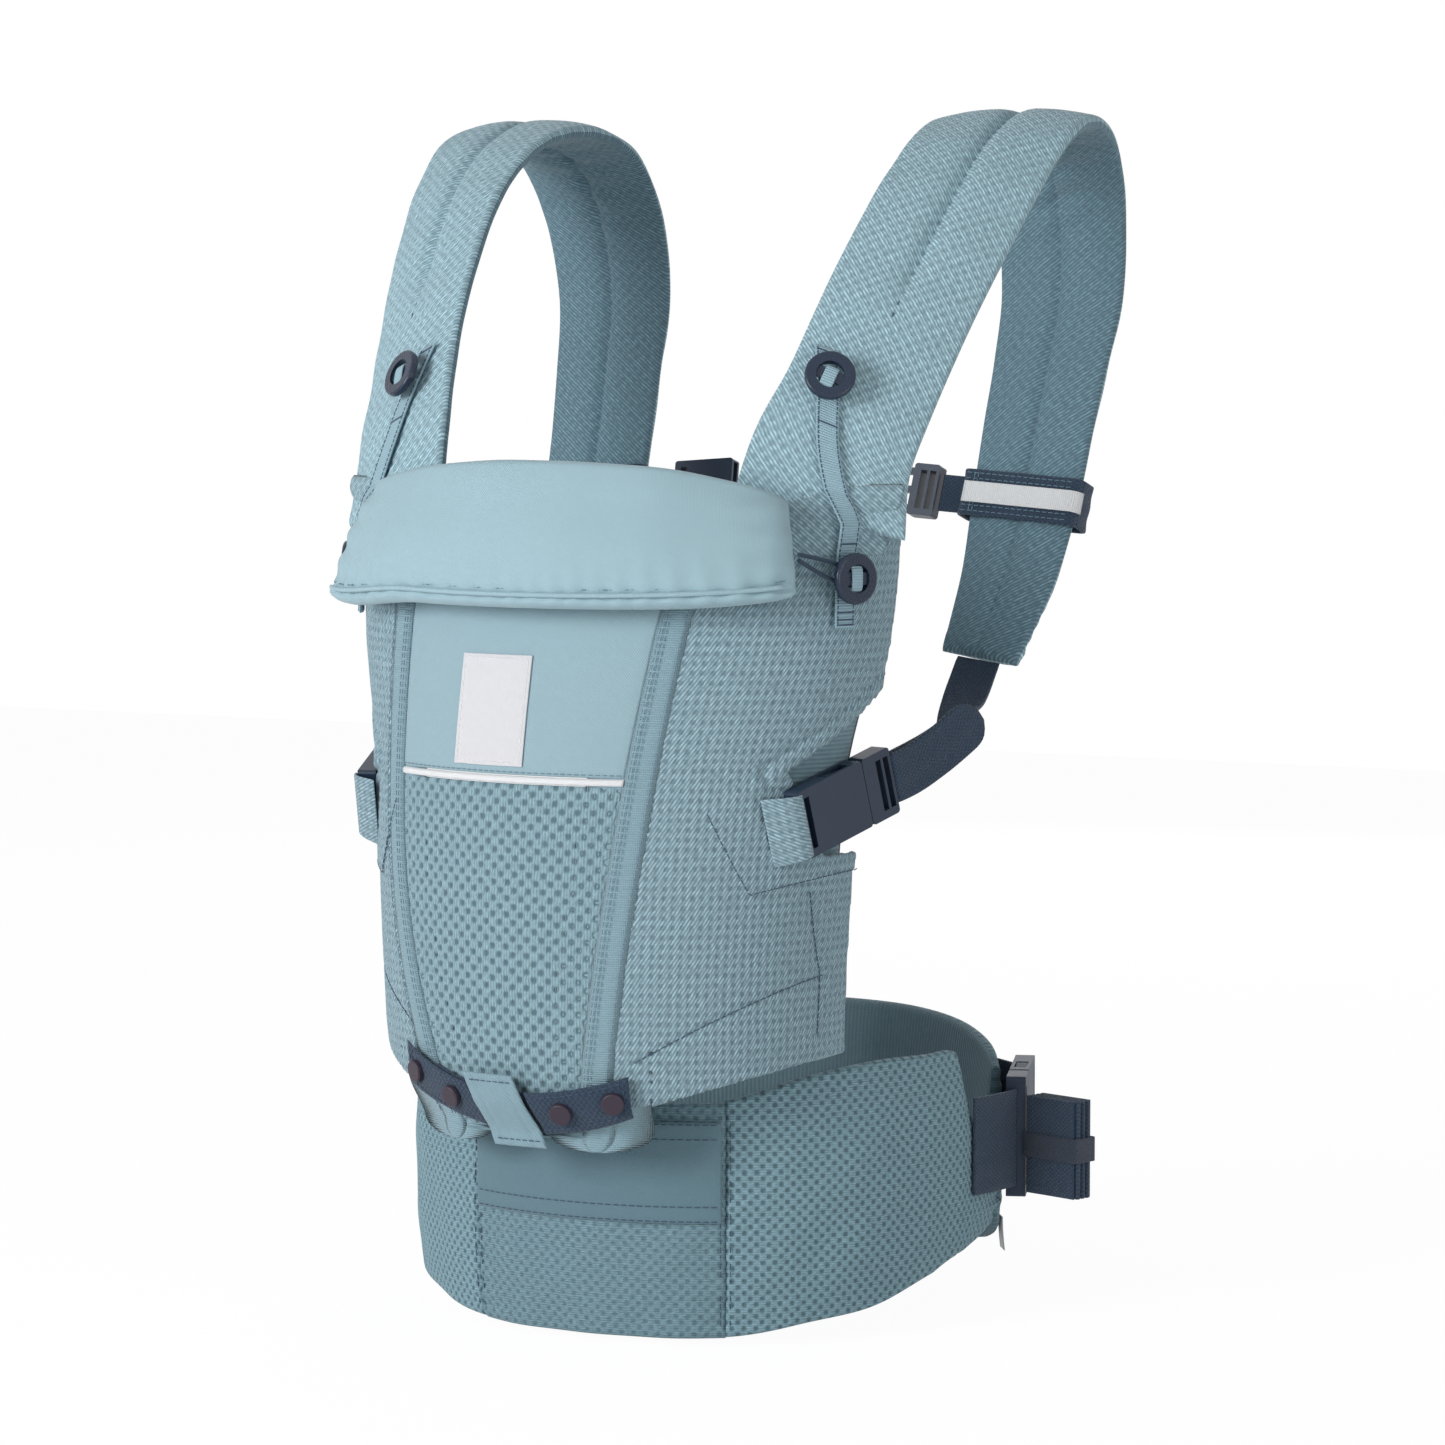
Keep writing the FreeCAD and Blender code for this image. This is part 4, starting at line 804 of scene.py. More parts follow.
def pad(name, centres, acrosses, outs, half_width, half_thick, half_edge, bulge, finishes, body,
        replaced, slot, relief=None, step=0.0015, sides=4, edge=0.004, side=1, shift=0.0,
        ends=0.15):
    # A padded piece: the loop carried along a line and crowned on both faces. Its relief is
    # pressed in along the outward direction.
    count = len(centres)
    half_width, half_thick, half_edge, shift = [
        np.broadcast_to(np.asarray(a, float), (count,))[:, None]
        for a in (half_width, half_thick, half_edge, shift)]
    distance = run_length(centres)
    a, past, rise = loop_shares(int(half_width.max() * 2 / step) + 2, sides)
    u = half_width * a + bulge * past
    v = distance[:, None] + u * 0
    rises = rise + u * 0
    full = roundness(distance, distance[-1], edge)[:, None]
    full = ends + (1 - ends) * full
    level = rises * (half_edge + (half_thick - half_edge) * (1 - a * a)) * full
    if relief is not None:
        level = level + relief(u + shift, v, rises) * full
    points = (centres[:, None] + acrosses[:, None] * u[..., None]
              + outs[:, None] * level[..., None]).reshape(-1, 3)
    numbers = np.arange(u.size).reshape(u.shape)
    ahead = np.roll(numbers, -1, axis=1)
    faces = np.stack((numbers[:-1], ahead[:-1], ahead[1:], numbers[1:]), -1).reshape(-1, 4)
    inner = (rise + np.roll(rise, -1) < -0.4) * (len(finishes) - 1)
    finish_of = np.concatenate((np.tile(inner, count - 1), (0, 0)))
    faces = faces.tolist() + [numbers[0, ::-1].tolist(), numbers[-1].tolist()]
    middle = count // 2
    ahead_way = centres[middle] - centres[middle - 1]
    if (np.cross(acrosses[middle], ahead_way) @ outs[middle] < 0) != (side < 0):
        faces = [face[::-1] for face in faces]
    points[:, 0] *= side
    weave = np.stack((u + shift, v, u * 0), -1).reshape(-1, 3)
    return made_mesh(name, points, faces, weave, finishes, body, replaced, finish_of)


def uneven(u, v, scale, seed=1.0):
    # Soft unevenness from -1 to 1: a few fixed waves in different directions
    total = 0.0
    for number in range(5):
        turn = 1.9 * number + seed
        way = (u * math.cos(turn) + v * math.sin(turn)) * (1 + 0.37 * number)
        total = total + np.sin(way * (2 * math.pi / scale) + 2.4 * number * seed)
    return total / 5


belt_radius = 0.148
belt_thick = 0.014
belt_edge_thick = 0.007
belt_bulge = 0.0025
belt_turn = 4.5
belt_centre_angle = 26.0
belt_centre_top = 0.112
belt_wing_top = 0.130
belt_wing_tip_z = 0.050
belt_rise = 0.046
belt_wing_angle = 105.0
wing_angle_shares = np.array((0.0, 0.2, 0.4, 0.6, 0.70, 0.725, 0.771, 0.83, 0.892, 1.0))
wing_top_shares = (0.80, 0.93, 1.0, 1.0, 0.99, 0.84, 0.55, 0.36, 0.21, 0.05)
wing_rise_shares = (0.0, 0.12, 0.24, 0.49, 0.62, 0.64, 0.68, 0.73, 0.80, 1.0)
wing_thick_shares = (1.0, 1.0, 1.0, 1.0, 1.0, 0.97, 0.9, 0.85, 0.75, 0.6)
belt_hole = 0.0060
belt_dent = 0.0007
belt_softness = 0.0011
belt_pucker = 0.0009
belt_pucker_reach = 0.010
belt_mesh_finish = mesh_finish("belt_spacer_mesh", belt_hole, belt_hole, (0.175, 0.285, 0.335),
                               (0.070, 0.130, 0.165), 0.6)
# The wings' mesh is the belt middle's mesh in a lighter copy: painted light, where the lamps leave the
# wings in shade.
belt_wing_lighter_mesh = mesh_finish("belt_wing_mesh_painted_light", belt_hole, belt_hole, (0.215, 0.350, 0.410),
                               (0.085, 0.150, 0.180))
belt_lining = ribbed_finish("belt_lining", (0.215, 0.325, 0.370), (0.145, 0.235, 0.280), 0.0024)


def ring_point(angle, radius, z):
    # A place on the belt's ring, by the angle from its front in degrees
    turn = np.radians(angle)
    return np.stack((radius * np.sin(turn), -radius * np.cos(turn), z + turn * 0), -1)


def belt_relief(long, scale=1.0):
    def relief(u, v, rise):
        near = np.minimum(v, long - v)
        soft = belt_softness * uneven(u, v, 0.075)
        pucker = (belt_pucker * np.exp(-near / belt_pucker_reach)
                  * np.sin(u * 590 + 2 * np.sin(u * 130)))
        holes = belt_dent * oval_holes(u, v, belt_hole, belt_hole) * (rise > 0.9)
        return np.where(rise > 0, (soft + pucker) * scale - holes, soft * 0.3)
    return relief


def ring_pad(name, angles, low, high, thick, edge_thick, bulge, side, **rest):
    centres = ring_point(angles, belt_radius, (low + high) / 2)
    outs = ring_point(angles, 1.0, 0.0 * angles)
    return pad(name, centres, np.tile(UP, (len(angles), 1)), outs, (high - low) / 2, thick / 2,
               edge_thick / 2, bulge, side=side, shift=(low + high) / 2, step=0.0014,
               edge=0.0035, ends=0.72, **rest)


belt_step = math.degrees(0.0014 / belt_radius)
angles = np.linspace(belt_turn - belt_centre_angle - 0.1, belt_turn + belt_centre_angle + 0.1, 100)
belt_long = math.radians(2 * belt_centre_angle) * belt_radius
ring_pad("belt_centre", angles, angles * 0, angles * 0 + belt_centre_top, belt_thick,
                   belt_edge_thick, belt_bulge, 1, finishes=[belt_mesh_finish, belt_lining],
                   body="carrier", replaced=["belt_centre_cover", "belt_centre_foam"],
                   slot="belt_mesh", relief=belt_relief(belt_long))


def wing_form(angle, side):
    # The belt wing's lower and upper edge and its share of the full thickness
    start = belt_centre_angle + belt_turn * side + math.degrees(seam_gap / belt_radius)
    share = np.clip((angle - start) / (belt_wing_angle - start), 0, 1)
    top, rise, thick = [eased(wing_angle_shares, values, share) for values in
                        (wing_top_shares, wing_rise_shares, wing_thick_shares)]
    high = belt_wing_tip_z + (belt_wing_top - belt_wing_tip_z) * top
    return belt_rise * rise, high, thick


for name, side in SIDES:
    start = belt_centre_angle + belt_turn * side + math.degrees(seam_gap / belt_radius)
    angles = np.append(np.arange(start, belt_wing_angle, belt_step), belt_wing_angle)
    low, high, thick = wing_form(angles, side)
    long = math.radians(belt_wing_angle - start) * belt_radius
    hidden = ["belt_wing_cover_" + name] + (["belt_wing_foams"] if side > 0 else [])
    ring_pad("belt_wing_" + name, angles, low, high, belt_thick * thick,
                       belt_edge_thick * thick, belt_bulge * 0.8, side,
                       finishes=[belt_wing_lighter_mesh, belt_lining], body="carrier", replaced=hidden,
                       slot="belt_mesh", relief=belt_relief(long))


def ring_cloth(name, angles, z, inner, thick, finishes, body, replaced, slot, side=1,
               edge=0.0012):
    # A cloth piece round the ring; inner is the radius of its inner face at each height
    tall, wide = z[-1] - z[0], math.radians(angles[-1] - angles[0]) * belt_radius
    full = (roundness(z - z[0], tall, edge)[:, None]
            * roundness(np.radians(angles - angles[0]) * belt_radius, wide, edge)[None, :])
    middle = np.broadcast_to(np.asarray(inner + thick / 2), z.shape)[:, None]
    turn, tall_z = angles[None, :] + z[:, None] * 0, z[:, None] + angles[None, :] * 0
    front = ring_point(turn, middle + full * thick / 2, tall_z)
    back = ring_point(turn, middle - full * thick / 2, tall_z)
    flip = np.array((side, 1, 1))

    def weave(points):
        around = np.arctan2(points[:, 0] * side, -points[:, 1]) * belt_radius
        return np.stack((around, points[:, 2], around * 0), -1)
    if side < 0:
        front, back = front[:, ::-1], back[:, ::-1]
    return shell(name, front * flip, back * flip, weave, finishes, body, replaced, slot)


# The pocket on the belt's middle: one layer of dark twill round its front, sewn down with two
# rows of thread along its top and two along its bottom. The seams between the belt's middle and
# its wings are stitched with the same thread.
def belt_face(z, low=0.0, high=belt_centre_top, thick=belt_thick, edge=belt_edge_thick):
    share = (2 * z - low - high) / (high - low)
    return belt_radius + edge / 2 + (thick - edge) / 2 * (1 - share * share)


pocket_low = belt_centre_top * 0.5
pocket_high = belt_centre_top * 0.95
pocket_inner = belt_radius + belt_thick / 2 + seam_gap
pocket_thick = 0.0016
pocket_from = belt_turn - belt_centre_angle + 0.7
pocket_to = belt_turn + belt_centre_angle - 0.7
pocket_rows = (0.0012, 0.0085)
pocket_twill = twill_finish("pocket_twill", (0.122, 0.215, 0.262))
angles = pocket_from + np.degrees(spaced(math.radians(pocket_to - pocket_from) * belt_radius,
                                         0.004, 0.0012) / belt_radius)
ring_cloth("belt_pocket", angles, pocket_low + spaced(pocket_high - pocket_low, 0.003,
                                                              0.0012),
                    pocket_inner, pocket_thick, [pocket_twill], "carrier", ["belt_pocket"],
                    "light_twill")
belt_lines = []
angles = np.linspace(pocket_from + 0.6, pocket_to - 0.6, 80)
for z in ([pocket_low + row for row in pocket_rows]
          + [pocket_high - row for row in pocket_rows]):
    belt_lines.append(ring_point(angles, pocket_inner + pocket_thick + 0.0002, z))
for side in (-1, 1):
    for turn in (-0.9, 0.9):
        z = np.linspace(0.004, belt_centre_top - 0.004, 60)
        angle = (belt_turn + side * belt_centre_angle + turn) * np.ones(60)
        belt_lines.append(ring_point(angle, belt_face(z) - 0.0002, z))
stitches("belt_stitches", belt_lines, length=0.0030, pitch=0.0041)


# Shoulder straps: padded bands that arch over from the panel's top corners. Diamonds are woven
# into the cloth of both faces, and a sewn channel runs along the middle of each strap.
strap_base = np.array((0.0, 0.0, 0.4))
strap_places = strap_base + np.array((
    (122.9, -115.3, 0), (125.9, -104.6, 30.6), (132.2, -86.5, 61.4), (139.6, -54.1, 111.2),
    (147, -13, 160), (148, 27, 190), (145, 67, 199), (141, 105, 188), (138, 129, 156),
    (135.4, 137, 112), (133.2, 127, 74), (131.2, 116, 40), (129.6, 105, 6), (125, 93, -36),
    (118, 73, -77))) / 1000
strap_turns = (28, 29, 30, 30, 26, 18, 8, 3, 0, 0, 0, 0, 0, 0, 0)
strap_width = 0.074
strap_width_shares = (1.18, 1.11, 1.04, 1.0, 1.0, 1.0, 1.0, 0.97, 0.92, 0.87, 0.81, 0.78, 0.75,
                      0.66, 0.53)
strap_trims = np.array((5.9, 8.1, 8.1, 5.2, 3.7, 1.5, 0, 0, 0, 0, 0, 0, 0, 0, 0)) / 1000
strap_thick = 0.015
strap_edge_thick = 0.007
strap_bulge = 0.0025
strap_diamond = 0.0066
strap_dent = 0.0006
strap_channel = 0.0064
strap_lobe = 0.011
channel_from = 0.105
channel_run = 0.05
channel_fade_share = 0.75
channel_fade = (0.10, 0.02)
strap_softness = 0.0010
strap_hem = 0.0010
strap_hem_edge = (0.0115, 0.0095)
strap_crease = 0.0005
strap_crease_run = (0.055, 0.02)
strap_wrinkle = 0.0010
strap_outer = waffle_finish("strap_waffle", strap_diamond, (0.340, 0.508, 0.583),
                            (0.146, 0.243, 0.297), slanted=True, lean=-0.85)
# The inner face is the outer face's diamond cloth in a darker copy: painted shade.
strap_inner_shaded = waffle_finish("strap_waffle_painted_shade", strap_diamond, (0.145, 0.245, 0.300),
                            (0.085, 0.160, 0.205), slanted=True, lean=-0.85)


def strap_station(number):
    # The strap's middle, its directions across, out and along, and its half width
    number = np.asarray(number, float)
    shares = np.arange(len(strap_places))
    last = shares[-1]
    centre = eased(shares, strap_places, number)
    tangent = (eased(shares, strap_places, np.minimum(number + 0.25, last))
               - eased(shares, strap_places, np.maximum(number - 0.25, 0)))
    tangent /= np.linalg.norm(tangent, axis=-1, keepdims=True)
    tangent[number < 0.001] = UP
    turn = np.radians(eased(shares, strap_turns, number))
    across = np.stack((np.cos(turn), np.sin(turn), turn * 0), -1)
    across -= tangent * (across * tangent).sum(-1, keepdims=True)
    across /= np.linalg.norm(across, axis=-1, keepdims=True)
    trim = eased(shares, strap_trims, number) / 2
    half = strap_width * eased(shares, strap_width_shares, number) / 2 - trim
    return (centre - across * trim[..., None], across, np.cross(across, tangent), tangent, half)


strap_numbers = np.linspace(0, len(strap_places) - 1, 3000)
strap_runs = run_length(strap_station(strap_numbers)[0])
strap_long = strap_runs[-1]


def strap_at(distance):
    # The same by the distance along the strap
    return strap_station(np.interp(distance, strap_runs, strap_numbers))


def strap_spot(distance, u, lift, sign=1):
    # A point of the strap's outer or inner face, u across from its middle
    centre, across, out, tangent, half = strap_at(np.asarray(distance, float))
    u = np.asarray(u, float) + half * 0
    crown = (strap_thick - strap_edge_thick) / 2 * (1 - (u / half) ** 2)
    level = strap_edge_thick / 2 + crown + lift
    return centre + across * u[..., None] + out * (sign * level)[..., None]


def channel_depth(distance):
    # The sewn channel along the strap's middle begins on the shoulder and fades at the end
    start = smooth_part(distance, channel_from, channel_from + channel_run)
    far, near = [strap_long - left for left in channel_fade]
    return strap_channel * start * (1 - channel_fade_share * smooth_part(distance, far, near))


def strap_relief(u, v, rise):
    soft = strap_softness * uneven(u, v, 0.085, 0.6)
    middle = 1 - np.sqrt(np.clip(1 - (1 - np.clip(np.abs(u) / strap_lobe, 0, 1)) ** 2, 0, 1))
    channel = middle * channel_depth(v)
    hem = strap_hem * smooth_part(v, *[strap_long - left for left in strap_hem_edge])
    folds = smooth_part(v, *[strap_long - left for left in strap_crease_run])
    creases = strap_crease * folds * np.sin(v * 700 + 1.6 * np.sin(u * 160))
    bend = smooth_part(v, 0.17, 0.22) - smooth_part(v, 0.36, 0.41)
    wrinkles = strap_wrinkle * bend * np.sin(v * 310 + 2.2 * np.sin(u * 90)) * np.cos(u * 45)
    diamonds = strap_dent * oval_holes(u, v, strap_diamond, strap_diamond, -0.1, 0.7)
    outer = soft + creases + hem - channel - diamonds * (rise > 0.9)
    inner = -(soft * 0.3 + wrinkles + hem * 0.5 - channel * 0.8 - diamonds * 0.5 * (rise < -0.9))
    return np.where(rise > 0, outer, inner)


stops = np.arange(seam_gap, strap_long, 0.0015)
stops = np.append(stops, strap_long)
centres, acrosses, outs, tangents, halves = strap_at(stops)
for name, side in SIDES:
    hidden = ["shoulder_strap_cover_" + name] + (["shoulder_strap_foams"] if side > 0 else [])
    pad("shoulder_strap_" + name, centres, acrosses, outs, halves, strap_thick / 2,
                  strap_edge_thick / 2, strap_bulge, [strap_outer, strap_inner_shaded], "carrier",
                  hidden, "waffle_cloth", strap_relief, 0.0016, 5, 0.005, side)


# The cloth over the joint of strap and wing: a thin piece with the straps' diamonds. It lies on
# the panel's corner below and on the strap's front above, and turns smoothly between them.
join_low, join_start, join_end, join_high = 0.384, 0.394, 0.414, 0.419
join_far_turn = 80
join_thick = 0.0010
join_z = np.linspace(join_low, join_high, 24)[:, None]
join_u = np.linspace(-0.985, 0.985, 54)[None, :]
base_centre, base_across, base_out, base_tangent, base_half = [a[0] for a in strap_station([0.0])]
corner = base_centre - base_across * base_half
form = panel_form(strap_places[0][2])
low_turn = math.atan2(corner[0] / form[0], (form[2] - corner[1]) / form[1])
join_turn = low_turn + (math.radians(join_far_turn) - low_turn) * (join_u + 1) / 2
join_share = smooth_part(join_z, join_start, join_end)
join_lift = 0.0010 - 0.0018 * (1 - roundness(join_z - join_low, join_high - join_low, 0.005))


def join_face(lift):
    # The joint's cloth, from the panel's face below to the strap's face above
    low = panel_point(join_z + join_turn * 0, join_turn + join_z * 0, join_lift + lift)
    distance = np.maximum(join_z[:, 0] - strap_places[0][2], 0.0)
    rows = [strap_spot(np.full(join_u.size, d), join_u[0] * base_half, l + lift)
            for d, l in zip(distance, join_lift[:, 0])]
    high = np.array(rows)
    high[..., 2] = join_z
    return low + (high - low) * join_share[..., None]


def join_weave(points):
    spots = points * np.array((np.sign(points[0, 0]), 1, 1)) - base_centre
    return np.stack((spots @ base_across, points[:, 2] - strap_places[0][2], points[:, 0] * 0), -1)


join_finish = waffle_finish("join_waffle", strap_diamond, (0.285, 0.424, 0.489),
                            (0.112, 0.188, 0.231), slanted=True, lean=-0.85)
for name, side in SIDES:
    faces = [join_face(lift) * np.array((side, 1, 1)) for lift in (0.0, -join_thick)]
    if side < 0:
        faces = [face[:, ::-1] for face in faces]
    shell("strap_join_" + name, *faces, join_weave, [join_finish], "carrier", [], "waffle_cloth")


# The straps' seams: rows of dark thread down the sewn channel on both faces, two rows across the
# end, and a crossed box where the webbing is sewn in.
def both(lines):
    # The same lines on both sides of the carrier
    return [line * np.array((side, 1, 1)) for line in lines for side in (-1, 1)]


end_rows = (0.0045, 0.0085)
end_margin = 0.003
box_half = 0.010
seams = []
stops = np.linspace(0.006, strap_long - 0.006, 400)
quilted = stops[(stops > channel_from + 0.004) & (stops < strap_long - 0.02)]
for sign, share in ((-1, 0.8), (1, 1.0)):
    seams.append(strap_spot(quilted, 0.0, -share * channel_depth(quilted), sign))
for row in end_rows:
    half = strap_at(strap_long - row)[4] - end_margin
    across = np.linspace(-half, half, 16)
    seams.append(strap_spot(across * 0 + strap_long - row, across, 0.0016))
stitches("strap_stitches", both(seams), length=0.0030, pitch=0.0038)
box = []
near, far = strap_long - 0.021, strap_long - 0.0035
corners = ((near, -box_half), (near, box_half), (far, box_half), (far, -box_half))
share = np.linspace(0, 1, 12)
for a, b in ((0, 1), (1, 2), (2, 3), (3, 0), (0, 2), (1, 3)):
    (va, ua), (vb, ub) = corners[a], corners[b]
    box.append(strap_spot(va + (vb - va) * share, ua + (ub - ua) * share, 0.0018))
stitches("strap_box_stitches", both(box), length=0.0024, pitch=0.0030, radius=0.0004)


# The webbing between a strap and its side buckle: basket-woven navy tape that twists by a quarter
# turn on its way, with its spare tail beside it, and a short anchor sewn into the wing.
def webbing_finish(name, light=(0.031, 0.069, 0.128), dark=(0.0105, 0.025, 0.050), pitch=0.0022):
    made = Finish(name, Roughness=0.62, Sheen_Weight=0.15, Specular_IOR_Level=0.35)
    u, v = made.threads()
    over = smooth_part(wave(u, pitch) * wave(v, pitch * 1.3), -0.5, 0.5)
    fine = wave(u + v * over, 0.0006) * 0.5 + 0.5
    colour = made.mix(over * 0.6 + fine * 0.3, dark, light)
    made.feed(Base_Color=made.mix(made.cloud(60.0) * 0.3, colour, light))
    made.raise_by(over + fine * 0.3, 0.00035)
    return made


webbing = webbing_finish("navy_webbing")
web_thick = 0.0015
web_ridge = 0.00025
web_ridge_pitch = 0.0125
web_softness = 0.0002


def ribbon(name, centres, acrosses, width, thick, finish, body, replaced, slot, side=1, step=0.004,
           relief=None, edge=0.0008):
    # A flat tape along a line, turned to lie across it
    centres, acrosses = np.asarray(centres, float), np.asarray(acrosses, float)
    ways = np.gradient(centres, axis=0)
    ways /= np.linalg.norm(ways, axis=1, keepdims=True)
    sides = acrosses - ways * (acrosses * ways).sum(1, keepdims=True)
    sides /= np.linalg.norm(sides, axis=1, keepdims=True)
    half = thick / 2
    return pad(name, centres, sides, np.cross(sides, ways), width / 2 - half * 0.8, half, half,
               half * 0.8, [finish], body, replaced, slot, relief, step, 3, edge, side, ends=0.3)


# The right side buckle's place and directions, its female end, its male end and its thickness
side_origin = np.array((0.12400, -0.13290, 0.25760))
side_along = np.array((0.26496, 0.92402, 0.27564))
side_across = np.array((-0.07598, -0.26496, 0.96126))
side_out = np.array((0.96126, -0.27564, 0.0))
side_start_x = -0.0090
side_end_x = 0.0584
side_thick = 0.0096
web_gap = 0.0008
side_web = 0.025


def curved(knots, count):
    # A Bezier curve
    share = np.linspace(0, 1, count)[:, None]
    rest = 1 - share
    return (knots[0] * rest ** 3 + knots[1] * (3 * rest ** 2 * share)
            + knots[2] * (3 * rest * share ** 2) + knots[3] * share ** 3)


def settled(line, times):
    # The line with its bends rounded off and its ends kept
    for repeat in range(times):
        line[1:-1] = (line[:-2] + line[2:]) * 0.25 + line[1:-1] * 0.5
    return line


side_start = side_origin + side_along * (side_end_x + web_gap)
last_centre, last_across, last_out, last_way, last_half = [
    a[0] for a in strap_station([len(strap_places) - 1])]
finish = last_centre + last_way * web_gap
reach = np.linalg.norm(finish - side_start) / 3
twist_start_share, twist_end_share = 0.3, 0.95
line = curved((side_start, side_start + side_along * reach, finish + last_way * reach, finish), 60)
turned = smooth_part(np.linspace(0, 1, 60), twist_start_share, twist_end_share)[:, None]
tail_long = 0.050
tail_round = 0.010
tail_knots = np.array((0.0, 0.012, 0.030, tail_long))
tail_outs = (0, 0.0015, 0.007, 0.014)
tail_lifts = (0, 0, 0.006, 0.016)
tail_start = side_start + side_out * (side_thick / 2 - web_thick / 2)
tail_run = np.linspace(0, 1, 30) * tail_long
tail_line = settled(tail_start + side_along * tail_run[:, None]
                    + side_out * np.interp(tail_run, tail_knots, tail_outs)[:, None]
                    + UP * np.interp(tail_run, tail_knots, tail_lifts)[:, None], 12)
tail_tip = np.clip(tail_run - tail_long + tail_round, 0, 0.96 * tail_round) / tail_round
tail_width = side_web * np.sqrt(1 - tail_tip ** 2.5)
anchor_long = 0.0055
anchor_run = side_start_x - web_gap - np.linspace(0, anchor_long, 8)
anchor_line = side_origin + side_along * anchor_run[:, None]


def web_relief(u, v, rise):
    # Low ribs along the tape on both faces
    ridge = (web_ridge * np.cos(u * 2 * math.pi / web_ridge_pitch)
             + web_softness * uneven(u, v, 0.03))
    return ridge * np.sign(rise)


for name, side in SIDES:
    flip = np.array((side, 1, 1))
    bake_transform(ribbon("strap_webbing_" + name, line,
                    side_across * (1 - turned) + last_across * turned, side_web, web_thick,
                    webbing, None, ["strap_webbing_" + name], "navy_webbing", side, 0.0025,
                    web_relief),
             "side_male_" + name, "carrier", line[0] * flip, line[-1] * flip)
    ribbon("strap_webbing_tail_" + name, tail_line, np.tile(side_across, (30, 1)), tail_width,
           web_thick, webbing, "side_male_" + name, ["strap_webbing_tail_" + name],
           "navy_webbing", side, 0.0025, web_relief)
    ribbon("side_anchor_" + name, anchor_line, np.tile(side_across, (8, 1)), side_web, web_thick,
           webbing, "carrier", ["side_buckle_anchors"] if side > 0 else [], "navy_webbing", side,
           0.0025)


# The flap over the side buckle's inner end: a short tongue of the wing's waffle cloth that lies on
# the buckle, widens a little and dives into the wing. Each place is along and out of the buckle.
flap_wide = 0.031
flap_widening = 0.004
flap_thick = 0.0013
flap_places = np.array(((0.0020, 0.0058), (-0.001, 0.0056), (-0.004, 0.0040), (-0.007, 0.0010),
                        (-0.010, -0.0030), (-0.013, -0.0075)))
flap_share = np.linspace(0, 1, 22)
flap_x, flap_out = eased(np.linspace(0, 1, 6), flap_places, flap_share).T
flap_line = (side_origin + side_along * (side_start_x + flap_x)[:, None]
             + side_out * flap_out[:, None])
for name, side in SIDES:
    ribbon("buckle_flap_" + name, flap_line, np.tile(side_across, (22, 1)),
           flap_wide + flap_widening * flap_share, flap_thick, wing_finish, "carrier", [],
           "waffle_cloth", side, 0.0016, edge=0.0012)


# The padded head support, folded down over the panel's top: one cushion of smooth twill with a
# piped seam just above its lower edge, soft puckers along the seam and gathered ends.
head_top_middle = np.array((0, -0.1775, 0.431))
head_top_end = np.array((0.110, -0.1415, 0.419))
head_low_middle = np.array((0, -0.195, 0.359))
head_low_end = np.array((0.136, -0.156, 0.362))
head_depth = 0.024
head_end_share = 0.35
head_edge_share = 0.62
head_round = 0.0040
piping_share = 0.97
piping_reach = 0.955
piping_radius = 0.0012
piping_groove = 0.0016
head_step = 0.0025
head_softness = 0.0013
head_pucker = 0.0009
head_pucker_reach = 0.008
head_gather = 0.0010
head_sag = 0.0015
lean_shares, droop_shares = (0.55, 1.0), (0.45, 0.95)
top_lean = np.array((0.006, 0.0, -0.002))
low_lean = np.array((-0.006, -0.001, 0.0))
left_droop = np.array((-0.001, 0.0, -0.007))
pillow_twill = twill_finish("pillow_twill", (0.335, 0.495, 0.562), contrast=0.16)


def bow_point(middle, end, share):
    # A point of the level arc through end, middle and end's mirror image
    rise = end[1] - middle[1]
    radius = (end[0] ** 2 + rise ** 2) / (2 * rise)
    turn = math.asin(end[0] / radius) * share
    return np.stack((radius * np.sin(turn), middle[1] + radius * (1 - np.cos(turn)),
                     middle[2] + (end[2] - middle[2]) * share ** 2), -1)


def head_form(share):
    # The head support's middle line, its directions, and its half height and half depth
    full = head_end_share + (1 - head_end_share) * np.sqrt(1 - np.abs(share) ** 5)
    top = bow_point(head_top_middle, head_top_end, share)
    low = bow_point(head_low_middle, head_low_end, share)
    # The right end leans, and the lower edge of the left end hangs down
    leaning = smooth_part(share, *lean_shares)[:, None]
    top = top + leaning * top_lean
    low = low + leaning * low_lean
    low = low + smooth_part(-share, *droop_shares)[:, None] * left_droop
    up = top - low
    tall = np.linalg.norm(up, axis=-1)
    up /= tall[:, None]
    turn = np.arcsin(share / 1.3)
    out = np.stack((np.sin(turn), -np.cos(turn), turn * 0), -1)
    out -= up * (out * up).sum(-1, keepdims=True)
    out /= np.linalg.norm(out, axis=-1, keepdims=True)
    half = head_depth * full / 2
    return (top + low) / 2, up, out, tall / 2 * (0.55 + 0.45 * full) - half * 0.4, half


def head_relief(u, v, rise):
    middle = v[-1, 0] / 2
    end = np.abs(v - middle) / middle
    seam = np.abs(u + piping_share * np.interp(v[:, :1], head_runs, tall))
    groove = piping_groove * np.exp(-((seam - piping_radius) / 0.0012) ** 2)
    puckers = (head_pucker * np.exp(-seam / head_pucker_reach)
               * np.sin(v * 520 + 3 * np.sin(v * 41)))
    soft = head_softness * uneven(v, u, 0.11, 1.7)
    gathers = head_gather * smooth_part(end, 0.72, 0.98) * np.sin(u * 420 + 2 * np.sin(v * 60))
    sag = -head_sag * np.exp(-((u - 0.012) / 0.014) ** 2) * (1 - end ** 2)
    return np.where(rise > 0, soft + puckers + gathers + sag - groove, soft * 0.2)


